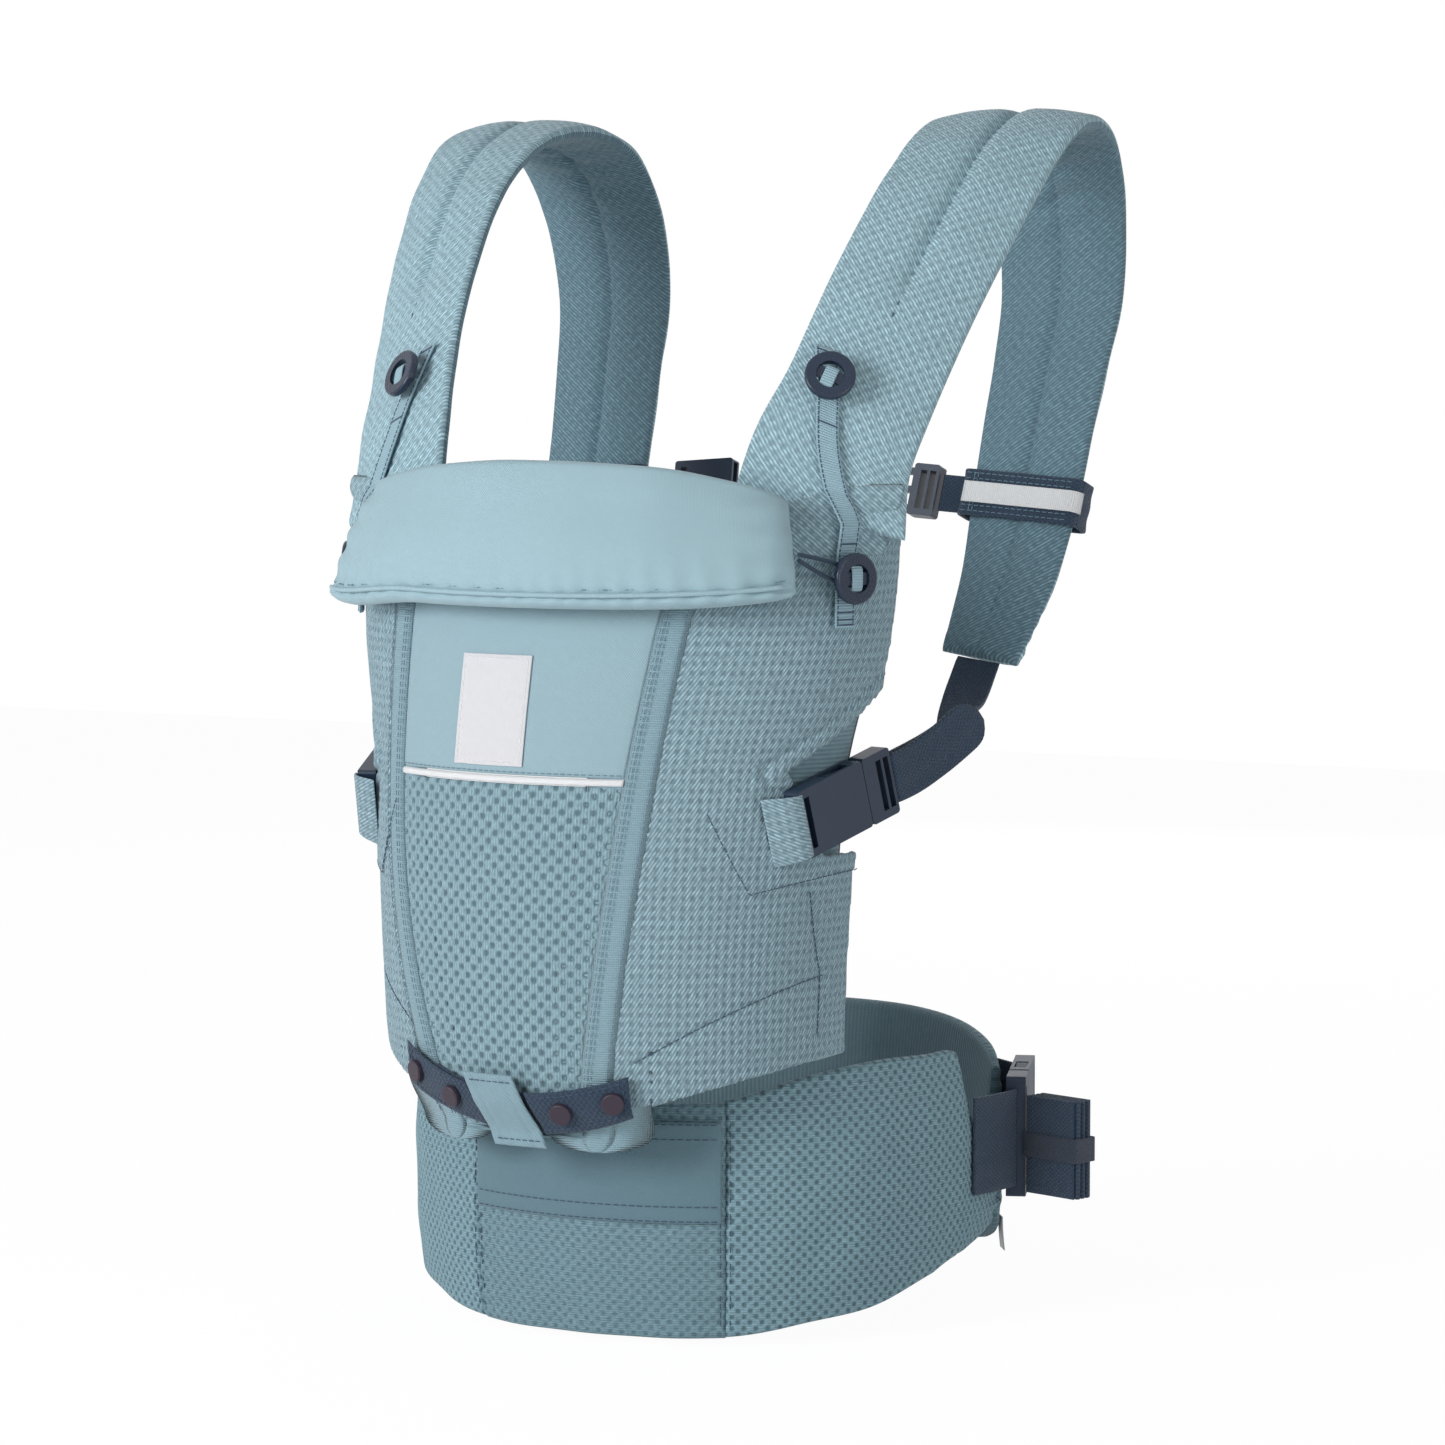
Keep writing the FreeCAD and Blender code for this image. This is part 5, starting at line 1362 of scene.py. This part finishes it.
shares = np.linspace(-1, 1, int(0.32 / head_step))
centres, ups, outs, tall, deep = head_form(shares)
head_runs = run_length(centres)
pad("head_support", centres, ups, outs, tall, deep, deep * head_edge_share, head_round,
              [pillow_twill], "head_support", ["head_support_cover", "head_support_foam"],
              "light_twill", head_relief, 0.0022, 7, 0.012, ends=0.35)


def tube(name, line, radius, finish, body, replaced, sides=8, side=1):
    # A round cord sewn into a seam, closed at both ends
    ways = np.gradient(line, axis=0)
    ways /= np.linalg.norm(ways, axis=1, keepdims=True)
    first = np.cross(ways, UP)
    first /= np.linalg.norm(first, axis=1, keepdims=True)
    second = np.cross(ways, first)
    turns = np.arange(sides) * 2 * math.pi / sides
    ends = np.minimum(roundness(run_length(line), run_length(line)[-1], radius) + 0.2, 1)
    ring = (first[:, None] * np.cos(turns)[:, None] + second[:, None] * np.sin(turns)[:, None])
    points = (line[:, None] + ring * (radius * ends)[:, None, None]).reshape(-1, 3)
    points[:, 0] *= side
    numbers = np.arange(len(points)).reshape(len(line), sides)
    ahead = np.roll(numbers, -1, axis=1)
    faces = np.stack((numbers[:-1], numbers[1:], ahead[1:], ahead[:-1]), -1).reshape(-1, 4)
    faces = faces.tolist() + [numbers[0].tolist(), numbers[-1, ::-1].tolist()]
    if side < 0:
        faces = [face[::-1] for face in faces]
    return made_mesh(name, points, faces, points, [finish], body, replaced)


inner = np.abs(shares) < piping_reach
level = deep * (head_edge_share + (1 - head_edge_share) * (1 - piping_share ** 2))
piping = centres - ups * (tall * piping_share)[:, None] + outs * (level + 0.0002)[:, None]
tube("head_support_piping", piping[inner], piping_radius, pillow_twill, "head_support", [])
stitches("head_support_stitches", [(piping + ups * 0.0030 - outs * 0.0006)[inner]],
         "head_support", pale_thread, radius=0.0003)


# The fold that joins the head support to the panel's top edge: a roll of twill that is the hinge,
# and a short flat piece of the same cloth that reaches from it into the support.
hinge_y, hinge_z = -0.163488, 0.4269
fold_radius = 0.0016
fold_half = 0.030
tongue_half = 0.015
tongue_y = -0.1665
tongue_half_thick = 0.0007
across = np.linspace(-fold_half, fold_half, 24)
tube("head_support_cord", np.stack((across, across * 0 + hinge_y, across * 0 + hinge_z), -1),
     fold_radius, twill, "head_support", ["head_support_fold"], 12)
across = np.linspace(-tongue_half, tongue_half, 12)
pad("head_support_fold_cloth", np.stack((across, across * 0 + tongue_y, across * 0 + hinge_z), -1),
    np.tile((0.0, 1.0, 0.0), (12, 1)), np.tile(-UP, (12, 1)), 0.0025, tongue_half_thick,
    tongue_half_thick, 0.0004, [twill], "head_support", [], "light_twill", None, 0.001, 3, 0.001)


# The lining strips: finely ribbed cloth behind the openings of the wings, tucked in close to the
# wings above and below.
notch_low_z = 0.238
notch_top_z = 0.338
facing_laps = (0.016, 0.006)
facing_back = 0.0036
facing_deeper = 0.0042
facing_end_share = 0.12
facing_inner_share = 0.8
facing_ribs = ribbed_finish("facing_lining", (0.245, 0.370, 0.430), (0.120, 0.205, 0.250), 0.0021)
facing_low, facing_high = notch_low_z - facing_laps[0], notch_top_z + facing_laps[1]


def facing_level(z):
    # How far behind the panel's face the lining lies, deeper between its two ends
    share = (z - facing_low) / (facing_high - facing_low)
    ends = np.clip(np.minimum(share, 1 - share) / facing_end_share, 0, 1)
    return -facing_back - facing_deeper * ends


for name, side in SIDES:
    low_share, high_share = (facing_inner_share, 1.0) if side > 0 else (1.0, facing_inner_share)
    panel_cloth("facing_" + name, facing_low, facing_high,
                         lambda z: side * panel_form(z)[0] * low_share,
                         lambda z: side * panel_form(z)[0] * high_share,
                         facing_level, 0.0015, 0.002, [facing_ribs], "slate_lining",
                         ["side_facings"] if side > 0 else [])


# The seat's base: one layer of the ribbed lining from the panel's lower edge to the belt's front.
# It closes the gap between them and hangs a little in its middle.
seat_under, seat_over = 0.0015, 0.0014
seat_z = panel_bottom - seam_gap - seat_under
half_x = band_inner_bottom[0]
seat_outer = belt_radius + belt_thick / 2 + 2 * seam_gap + pocket_thick
columns = np.linspace(-1, 1, 50)[None, :]
rows = np.linspace(0, 1, 14)[:, None]
ends = panel_point(panel_bottom, panel_turn(panel_bottom, half_x * columns[0]), 0.0)
front_y = ends[:, 1][None, :]
back_y = -np.sqrt(seat_outer ** 2 - (half_x * columns) ** 2)
place_y = front_y + (back_y - front_y) * rows
place_x = half_x * columns + rows * 0
seat_sag = 0.0005
sag = seat_sag * np.sin(rows * math.pi) * (1 - columns ** 2)
edge = roundness(rows, 1.0, 0.06) * roundness((columns + 1) / 2, 1.0, 0.02)
front = np.stack((place_x, place_y, seat_z - seat_under * edge - sag), -1)
back = np.stack((place_x, place_y, seat_z + seat_over * edge - sag), -1)
shell("seat_base", front, back, lambda points: points, [facing_ribs], "carrier",
               ["seat_base"], "slate_lining")


# Button tapes: a pale blue ribbed tape on each side from the strap's face down over the panel's
# corner, edge-stitched in dark blue, with bar tacks above and below each button. A short length
# of the same tape runs through each button over its cross bar.
tape_width = 0.012
tape_thick = 0.0012
tape_gap = 0.0014
upper_button_z = 0.458
lower_button_z = 0.374
tape_top_z = 0.474
tape_bottom_z = 0.350
tape_blend = 0.014
tape_hump = 0.0024
lower_button_x = 0.1357
button_inset = 0.019
seam_inset = -0.010
button_hole = 0.007
button_high = 0.0046
button_cross_top = 0.0028
bridge_wide = 0.0066
bridge_thick = 0.0008
tape_finish = ribbed_finish("button_tape", (0.365, 0.550, 0.640), (0.255, 0.400, 0.475), 0.0013)


def tape_place(z, lift):
    # A place on the tape's line with its two directions: on the panel's face below the seam of
    # strap and panel, and on the strap's face above it
    z = np.asarray(z, float)
    seam_z = strap_places[0][2]
    lift = lift + tape_hump * np.maximum(0, 1 - np.abs(z - seam_z) / tape_blend)
    turn = panel_turn(z, lower_button_x)
    out = np.stack((np.sin(turn), -np.cos(turn), turn * 0), -1)
    across = np.stack((np.cos(turn), np.sin(turn), turn * 0), -1)
    spot = panel_point(z, turn, lift)
    leg = np.linspace(0, 4, 500)
    number = np.interp(z, strap_station(leg)[0][:, 2], leg)
    centre, leg_across, leg_out, tangent, half = strap_station(number)
    inset = button_inset + (seam_inset - button_inset) * (upper_button_z - z) / (
        upper_button_z - seam_z)
    level = strap_thick / 2 - (strap_thick - strap_edge_thick) / 2 * (inset / strap_width * 2) ** 2
    trim = eased(np.arange(len(strap_places)), strap_trims, number) / 2
    upper = centre - leg_across * (inset - trim)[:, None] + leg_out * (level + lift)[:, None]
    blend = np.clip((z - seam_z) / tape_blend, 0, 1)[:, None]
    spot = spot * (1 - blend) + upper * blend
    across = across * (1 - blend) + leg_across * blend
    across /= np.linalg.norm(across, axis=1, keepdims=True)
    out = out * (1 - blend) + leg_out * blend
    out -= across * (out * across).sum(1, keepdims=True)
    return spot, across, out / np.linalg.norm(out, axis=1, keepdims=True)


heights = np.linspace(tape_bottom_z, tape_top_z, 90)
spots, acrosses, outs = tape_place(heights, tape_gap + tape_thick / 2)
for name, side in SIDES:
    pad("button_tape_" + name, spots, acrosses, outs, tape_width / 2 - 0.0005, tape_thick / 2,
        tape_thick / 2, 0.0005, [tape_finish], "carrier", ["button_tapes"] if side > 0 else [],
        "teal_binding", None, 0.0012, 3, 0.001, side)
tape_edge = tape_width / 2 - 0.0012
tape_lines = [(spots + acrosses * sign * tape_edge + outs * (tape_thick / 2 + 0.0001))[1:-1]
              for sign in (-1, 1)]
tacks = []
for z in (tape_bottom_z + 0.0015, tape_bottom_z + 0.0040, lower_button_z - 0.0165,
          lower_button_z + 0.0165, upper_button_z - 0.016, upper_button_z + 0.014):
    spot, across, out = [a[0] for a in tape_place(np.array((z,)), tape_gap + tape_thick)]
    share = np.linspace(-1, 1, 10)[:, None] * (tape_width / 2 - 0.0008)
    tacks.append(spot + across * share + out * 0.0001)
bridge_level = tape_gap + tape_thick + seam_gap + button_high + button_cross_top + 0.0006
for level_name, z in (("upper", upper_button_z), ("lower", lower_button_z)):
    spot, across, out = [a[0] for a in tape_place(np.array((z,)), bridge_level)]
    down = np.cross(out, across)
    share = np.linspace(-1, 1, 14)[:, None]
    bridge = spot + down * share * (button_hole - 0.0004) - out * share ** 4 * 0.0016
    for name, side in SIDES:
        ribbon(level_name + "_button_bridge_" + name, bridge, np.tile(across, (14, 1)),
               bridge_wide, bridge_thick, tape_finish, "carrier", [], "teal_binding", side,
               0.0012, edge=0.0004)
stitches("tape_stitches", both(tape_lines), length=0.0019, pitch=0.0025, radius=0.0003)
stitches("tape_tacks", both(tacks), length=0.0013, pitch=0.0013, radius=0.00045)


# The waist webbing: wide navy tape from the right wing to the buckle, and from the buckle round the
# lumbar pad to the left wing. The buckle's place and directions come first, its female end at the
# start and its male end at the end.
waist_origin = np.array((0.13747, 0.08919, 0.08200))
waist_along = np.array((0.35837, -0.93358, 0.0))
waist_out = np.array((0.93358, 0.35837, 0.0))
waist_start_x = -0.0090
waist_end_x = 0.0684
waist_web = 0.050
waist_web_z = 0.082
lumbar_angle = 121.0
lumbar_thick = 0.018
waist_web_radius = belt_radius + lumbar_thick / 2 + seam_gap + web_thick / 2
start = waist_origin + waist_along * (waist_end_x + web_gap)
web_turn = math.degrees(waist_web / belt_radius)
finish = ring_point(np.array(belt_wing_angle - web_turn),
                    belt_radius + belt_thick / 2 + seam_gap + web_thick / 2, waist_web_z)
middle = (start + finish) / 2 + waist_out * web_thick
share = np.linspace(0, 1, 40)
line = np.stack([eased(np.array((0.0, 0.5, 1.0)), (start[k], middle[k], finish[k]), share)
                 for k in range(3)], -1)
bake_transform(ribbon("waist_webbing_right", line, np.tile(UP, (40, 1)), waist_web, web_thick, webbing,
                None, ["waist_webbing_right"], "navy_webbing", relief=web_relief,
                step=0.003))
start = waist_origin + waist_along * (waist_start_x - web_gap)
around = np.linspace(lumbar_angle + web_turn, 360 - belt_wing_angle + web_turn, 150)
bow = ring_point(around, waist_web_radius, waist_web_z)
lead = start + (bow[0] - start) * np.linspace(0, 0.9, 10)[:, None]
line = settled(np.concatenate((lead, bow)), 6)
ribbon("waist_webbing_back", line, np.tile(UP, (len(line), 1)), waist_web, web_thick, webbing,
       "carrier", ["waist_webbing_back"], "navy_webbing", relief=web_relief, step=0.003)


# The spare end of the waist webbing: folded back and forth eight times beside the buckle, and held
# in a bundle by a loop of thin dark elastic.
roll_turns = 8
roll_thick = 0.0012
roll_length = 0.031
roll_pitch = 0.00175
roll_sway = 0.00022
roll_softness = 0.00008
loop_thick = 0.0008
loop_round = 0.001
roll_centre = np.array((0.185567, 0.026673, 0.079))
roll_ahead = np.array((0.95630, -0.29237, 0.0))
roll_side = np.cross(roll_ahead, UP)
route = []
for turn in range(roll_turns):
    x = roll_pitch * (turn - (roll_turns - 1) / 2)
    way = 1 if turn % 2 == 0 else -1
    sway = roll_sway * math.sin(turn * 2.4)
    for share in np.linspace(-1, 1, 16):
        route.append((x + sway * (1 - share * share), way * share * roll_length / 2))
    if turn < roll_turns - 1:
        for bend in np.linspace(0, math.pi, 9)[1:-1]:
            route.append((x + roll_pitch / 2 * (1 - math.cos(bend)),
                          way * (roll_length / 2 + roll_pitch / 2 * math.sin(bend))))
route = np.array(route)
line = roll_centre + roll_side * route[:, :1] - roll_ahead * route[:, 1:]


def roll_relief(u, v, rise):
    return roll_softness * uneven(u, v, 0.02) * np.sign(rise)


ribbon("waist_webbing_roll", line, np.tile(UP, (len(line), 1)), waist_web, roll_thick, webbing,
       "waist_male", ["waist_webbing_roll"], "navy_webbing", relief=roll_relief, step=0.003)
elastic_finish = webbing_finish("dark_elastic", (0.045, 0.065, 0.105), (0.012, 0.020, 0.038),
                                0.0012)
loop_out = roll_pitch * (roll_turns - 1) + roll_thick + 2 * seam_gap + loop_thick
loop_long = roll_length + 2 * (roll_pitch / 2 + roll_thick / 2 + seam_gap) + loop_thick
loop_corners = []
for sx, sy in ((1, 1), (-1, 1), (-1, -1), (1, -1), (1, 1), (-1, 1)):
    turns = np.arctan2(sy, sx) + np.linspace(-0.7, 0.7, 7)
    loop_corners += [(sx * (loop_out / 2 - loop_round) + loop_round * math.cos(turn),
                      sy * (loop_long / 2 - loop_round) + loop_round * math.sin(turn))
                     for turn in turns]
loop_x, loop_y = np.array(loop_corners).T
loop_line = roll_centre + roll_side * loop_x[:, None] - roll_ahead * loop_y[:, None]
ribbon("roll_elastic", loop_line, np.tile(UP, (len(loop_line), 1)), waist_web / 4, loop_thick,
       elastic_finish, "waist_male", ["roll_elastic"], "navy_elastic", step=0.002, edge=0.0003)


# The lumbar pad at the wearer's back, padded and lined as the belt is and on the same ring. Two
# cloth tunnels on it guide the waist webbing, and a blank care tag hangs from its lower edge.
lumbar_bottom = 0.012
lumbar_top = 0.126
lumbar_end_drop = 0.020
lumbar_edge_thick = 0.009
lumbar_thin_share = 0.45
lumbar_relief_share = 0.6
tunnel_angle = 28.0
tunnel_turn = 7.0
tunnel_cloth = 0.0012
tunnel_margin = 0.003
tag_tall = 0.018
tag_thick = 0.0008
tag_curl = 0.0012
tag_drop_share = 0.8
angles = np.arange(lumbar_angle, 360 - lumbar_angle, belt_step * 1.2)
end = np.abs(angles - 180) / (180 - lumbar_angle)
full = 1.0 - lumbar_thin_share * end ** 6
lumbar_long = math.radians(360 - 2 * lumbar_angle) * belt_radius
ring_pad("lumbar_pad", angles, lumbar_bottom + lumbar_end_drop * end ** 8,
                   lumbar_top - lumbar_end_drop * end ** 3, lumbar_thick * full,
                   lumbar_edge_thick * full, belt_bulge, 1,
                   finishes=[belt_mesh_finish, belt_lining], body="lumbar_pad",
                   replaced=["lumbar_pad_cover", "lumbar_pad_foam"], slot="belt_mesh",
                   relief=belt_relief(lumbar_long, lumbar_relief_share))
heights = waist_web_z + np.linspace(-1, 1, 60) * (waist_web / 2 + 0.0004 + tunnel_margin)
bridge = smooth_part(waist_web / 2 - np.abs(heights - waist_web_z), -0.0026, -0.0004)
foot = belt_face(heights, lumbar_bottom, lumbar_top, lumbar_thick, lumbar_edge_thick)
level = foot + (waist_web_radius + web_thick / 2 + seam_gap - foot) * bridge
turns = np.linspace(-tunnel_turn / 2, tunnel_turn / 2, 16)
for name, side in SIDES:
    ring_cloth("tunnel_" + name, 180 - tunnel_angle + turns, heights, level, tunnel_cloth,
               [grosgrain], "lumbar_pad", [], "teal_binding", side)
tag_finish = Finish("tag_satin", Roughness=0.45, Sheen_Weight=0.2)
tag_finish.feed(Base_Color=tag_finish.mix(tag_finish.cloud(500.0), (0.90, 0.90, 0.88),
                                          (0.82, 0.82, 0.80)))
tag_top = lumbar_bottom + lumbar_end_drop * tag_drop_share
heights = tag_top - tag_tall + spaced(tag_tall, 0.0015, 0.0004)
tag_first = lumbar_angle + math.degrees(tape_width / 2 / belt_radius)
turns = tag_first + np.linspace(0, math.degrees(tape_width / belt_radius), 10)
curl = tag_curl * ((tag_top - heights) / tag_tall) ** 2
ring_cloth("care_tag", turns, heights, belt_radius + lumbar_edge_thick / 2 + curl, tag_thick,
           [tag_finish], "lumbar_pad", ["care_tag"], "blank_patch", edge=0.0004)


# Chest strap keepers: a band of webbing round each strap that slides along it, with a short tail
# towards the other strap, and a thin pale strip sewn on its front face.
keeper_centre = np.array((0.129451, 0.104440, 0.404086))
keeper_across = np.array((0.99721, -0.02096, -0.07168))
keeper_out = np.array((0.0, 0.95981, -0.28065))
keeper_way = np.array((-0.07468, -0.27987, -0.95713))
keeper_height = 0.025
keeper_thick = 0.002
keeper_room = 0.001
keeper_strap_share = 0.78
keeper_wide = strap_width * keeper_strap_share + 2 * (strap_bulge + keeper_room) + keeper_thick
keeper_deep = strap_thick + 2 * keeper_room + keeper_thick
keeper_round = 0.0043
keeper_tail = 0.016
keeper_tail_height = 0.020
strip_from = -0.0315
strip_thick = 0.0008
strip_height_share = 0.45
keeper_rows = (-0.0102, -0.0072, 0.0072, 0.0102)
keeper_tacks = (-0.0265, -0.0245)
keeper_tack_half = 0.011
pale_edge = ribbed_finish("pale_strip", (0.90, 0.91, 0.92), (0.74, 0.76, 0.78), 0.0011)


def keeper_point(x, y, z):
    # A place on the right keeper: across the strap, towards the front, and down the strap
    x, y, z = [np.asarray(a, float)[..., None] for a in (x, y, z)]
    return keeper_centre + keeper_across * x - keeper_out * y + keeper_way * z


corner_turns = np.linspace(0, math.pi / 2, 9)
corner_x, corner_y = keeper_wide / 2 - keeper_round, keeper_deep / 2 - keeper_round
ring_x, ring_y = [], []
for quarter, (sx, sy) in enumerate(((1, 1), (-1, 1), (-1, -1), (1, -1))):
    turns = corner_turns + quarter * math.pi / 2
    ring_x.append(sx * corner_x + keeper_round * np.cos(turns))
    ring_y.append(sy * corner_y + keeper_round * np.sin(turns))
    if quarter in (0, 2):
        gap = np.linspace(sx, -sx, 20)[1:-1] * corner_x
        ring_x.append(gap)
        ring_y.append(gap * 0 + sy * keeper_deep / 2 + 0.0003 * np.cos(gap * 180) * sy)
ring_x, ring_y = np.concatenate(ring_x), np.concatenate(ring_y)
ring_line = keeper_point(ring_x, ring_y, ring_x * 0)
ring_line = np.concatenate((ring_line, ring_line[:2]))
tail_x = -keeper_wide / 2 - np.linspace(0, keeper_tail, 10)
strip_x = np.linspace(strip_from, corner_x, 30)
strip_turns = np.linspace(math.pi / 2, 0, 8)[1:]
strip_level = keeper_thick / 2 + 0.0007
strip_across = np.append(strip_x, corner_x + (keeper_round + strip_level) * np.cos(strip_turns))
strip_out = np.append(strip_x * 0 + keeper_deep / 2 + strip_level,
                      corner_y + (keeper_round + strip_level) * np.sin(strip_turns))
strip_line = keeper_point(strip_across, strip_out, strip_out * 0)
for name, side in SIDES:
    body = "keeper_" + name
    ribbon("keeper_band_" + name, ring_line, np.tile(keeper_way, (len(ring_line), 1)),
           keeper_height, keeper_thick, webbing, body, ["keeper_band_" + name], "navy_webbing",
           side, 0.002, web_relief, 0.0002)
    ribbon("keeper_tail_" + name, keeper_point(tail_x, tail_x * 0, tail_x * 0),
           np.tile(keeper_way, (10, 1)), keeper_tail_height, web_thick, webbing, body, [],
           "navy_webbing", side, 0.002)
    ribbon("keeper_strip_" + name, strip_line, np.tile(keeper_way, (len(strip_line), 1)),
           keeper_height * strip_height_share, strip_thick, pale_edge, body, [],
           "reflective_tape", side, 0.0012)
    lines = []
    face = keeper_deep / 2 + keeper_thick / 2 + 0.0002
    for rise in keeper_rows:
        lines.append(keeper_point(strip_x, strip_x * 0 - face, strip_x * 0 + rise))
        lines.append(keeper_point(strip_x, strip_x * 0 + face, strip_x * 0 + rise))
    rises = np.linspace(-keeper_tack_half, keeper_tack_half, 20)
    for x in keeper_tacks:
        lines.append(keeper_point(rises * 0 + x, rises * 0 + face, rises))
    stitches("keeper_stitches_" + name, [line * np.array((side, 1, 1)) for line in lines], body,
             pale_thread)


# Seat adjuster: a navy band sewn across the panel's lower front, two tabs of webbing that snap
# down on it and peel open, and a leaning loop of twill over their inner ends.
adjuster_width = 0.021
adjuster_middle_z = 0.114
adjuster_rise = 0.016
adjuster_cloth = 0.002
adjuster_half = 0.054
adjuster_curve = 0.069
loop_width = 0.028
loop_top_x = -0.0155
loop_bottom_x = -0.002
loop_top_z = 0.133
loop_bottom_z = 0.097
loop_groove = 0.0007
loop_groove_place = 0.0085
loop_groove_reach = 0.0009
loop_softness = 0.0003
loop_width_share = 0.83
loop_row_inset = 0.0035
loop_row_half = 0.011
tab_gap = 0.0015
tab_ends = {"left": -0.074, "right": 0.056}
tab_end_rows = (0.0022, 0.0042)
tab_side_rows = (-0.0082, 0.0082)
base_out = 0.0008 + 2 * seam_gap
tab_out = base_out + adjuster_cloth + 2 * seam_gap
loop_lean = (loop_top_x - loop_bottom_x) / (loop_top_z - loop_bottom_z)


def band_height(x):
    # The band's middle rises towards its ends
    return adjuster_middle_z + adjuster_rise * (x / adjuster_curve) ** 2


def band_point(x, rise, lean, level):
    # A place on the adjuster, by its distance from the band's middle line
    z = band_height(x) + rise
    place_x = x + lean * rise
    spot = panel_point(z, panel_turn(z, place_x), level)
    return np.stack((place_x, spot[..., 1], z), -1)


def front_band(name, x_low, x_high, lean, out, finish, body, replaced, slot):
    # A piece of the band from one x to another, whose first end leans as the loop does
    long = abs(x_high - x_low)
    along = spaced(long, 0.002, 0.001)
    rises = spaced(adjuster_width, 0.002, 0.001)
    share = (along / long)[None, :]
    x = x_low + (x_high - x_low) * share
    rise = (rises - adjuster_width / 2)[:, None]
    full = roundness(rises, adjuster_width, 0.001)[:, None] * roundness(along, long, 0.001)[None, :]
    x = x + rise * 0
    rise = rise + x * 0
    waver = 0.0003 * uneven(x, rise, 0.03)
    lean = lean * (1 - share)
    middle = out + adjuster_cloth / 2
    front = band_point(x, rise, lean, middle + (adjuster_cloth / 2 + waver) * full)
    back = band_point(x, rise, lean, middle - full * adjuster_cloth / 2)
    if x_high < x_low:
        front, back = front[:, ::-1], back[:, ::-1]
    return shell(name, front, back, lambda points: points[:, [0, 2, 1]], [finish], body, replaced,
                 slot)


adjuster_web = webbing_finish("adjuster_webbing", pitch=0.0028)
front_band("adjuster_base", -adjuster_half, adjuster_half, 0.0, base_out, adjuster_web,
           "carrier", ["adjuster_base"], "navy_webbing")
for name, side in SIDES:
    half = loop_width / 2 + tab_gap
    spot = loop_bottom_x + loop_lean * (adjuster_middle_z - loop_bottom_z) + side * half
    inner_x = loop_bottom_x + loop_lean * (band_height(spot) - loop_bottom_z) + side * half
    front_band("adjuster_tab_" + name, inner_x, tab_ends[name], loop_lean, tab_out, adjuster_web,
               "tab_" + name, ["adjuster_tab_" + name], "navy_webbing")
    rises = np.linspace(-1, 1, 20) * (adjuster_width / 2 - 0.002)
    level = tab_out + adjuster_cloth + 0.0002
    ends = [band_point(rises * 0 + tab_ends[name] - side * row, rises, 0.0, level)
            for row in tab_end_rows]
    along = np.linspace(inner_x + side * 0.005, tab_ends[name] - side * 0.003, 40)
    edges = [band_point(along, along * 0 + row, 0.0, level) for row in tab_side_rows]
    stitches("adjuster_stitches_" + name, ends + edges, "tab_" + name)
loop_twill = twill_finish("loop_twill", (0.245, 0.380, 0.445), 0.0017, 0.45, 0.6)


def loop_side(sign):
    return lambda z: loop_bottom_x + loop_lean * (z - loop_bottom_z) + sign * loop_width / 2


def loop_relief(flat):
    middle = loop_bottom_x + loop_lean * (flat[..., 1] - loop_bottom_z)
    side = np.abs(flat[..., 0] * (panel_half_width * loop_width_share / weave_radius) - middle)
    groove = loop_groove * np.exp(-((side - loop_groove_place) / loop_groove_reach) ** 2)
    return -groove + loop_softness * uneven(flat[..., 0], flat[..., 1], 0.02)


panel_cloth("centre_loop", loop_bottom_z, loop_top_z, loop_side(-1), loop_side(1),
            tab_out + 2 * adjuster_cloth, adjuster_cloth, 0.0012, [loop_twill], "light_twill",
            ["centre_loop"], loop_relief)
loop_lines = []
for z in (loop_bottom_z + loop_row_inset, loop_top_z - loop_row_inset):
    middle = loop_bottom_x + loop_lean * (z - loop_bottom_z)
    loop_lines.append(panel_line([(middle - loop_row_half, z), (middle + loop_row_half, z)],
                                 tab_out + 2 * adjuster_cloth + 0.0002, 20))
stitches("loop_stitches", loop_lines)


# Hard parts keep their CAD form: moulded navy plastic for the buckles, glossier plastic for the
# buttons, and dark caps for the snaps. All get rounded edges.
edge_turn = 40


def moulded(name, light, dark, roughness, grain, **fixed):
    made = Finish(name, Specular_IOR_Level=0.35, **fixed)
    cloud = made.cloud(35.0, 4.0)
    speck = made.cloud(grain, 3.0)
    made.feed(Base_Color=made.mix(cloud, dark, light),
              Roughness=made.node("ShaderNodeMapRange", {}, speck, 0.3, 0.7, roughness - 0.06,
                                  roughness + 0.08))
    made.raise_by(speck, 0.00006)
    return made


navy_plastic = moulded("navy_plastic", (0.022, 0.040, 0.072), (0.014, 0.027, 0.052), 0.36, 1800.0)
waist_plastic = moulded("waist_plastic", (0.020, 0.037, 0.068), (0.013, 0.025, 0.048), 0.55,
                        1800.0)
button_plastic = moulded("button_plastic", (0.021, 0.036, 0.068), (0.013, 0.024, 0.048), 0.24,
                         1200.0)
snap_plastic = moulded("snap_plastic", (0.046, 0.032, 0.052), (0.028, 0.020, 0.034), 0.42, 1500.0)


def hard(node, finish, radius):
    # A CAD part keeps its form and gets its plastic and its rounded edges
    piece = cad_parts[node]
    for place in piece.material_slots:
        place.link = "OBJECT"
        place.material = finish.material
    bevel = piece.modifiers.new("edges", "BEVEL")
    bevel.width, bevel.segments, bevel.limit_method = radius, 3, "ANGLE"
    bevel.angle_limit = math.radians(edge_turn)
    bevel.harden_normals = False


for node in sorted(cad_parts):
    if "buckle" in node and "anchors" not in node:
        hard(node, waist_plastic if node.startswith("waist") else navy_plastic, 0.0006)
    elif node.endswith("_buttons"):
        hard(node, button_plastic, 0.0003)
    elif node.startswith("adjuster_snaps"):
        hard(node, snap_plastic, 0.0004)
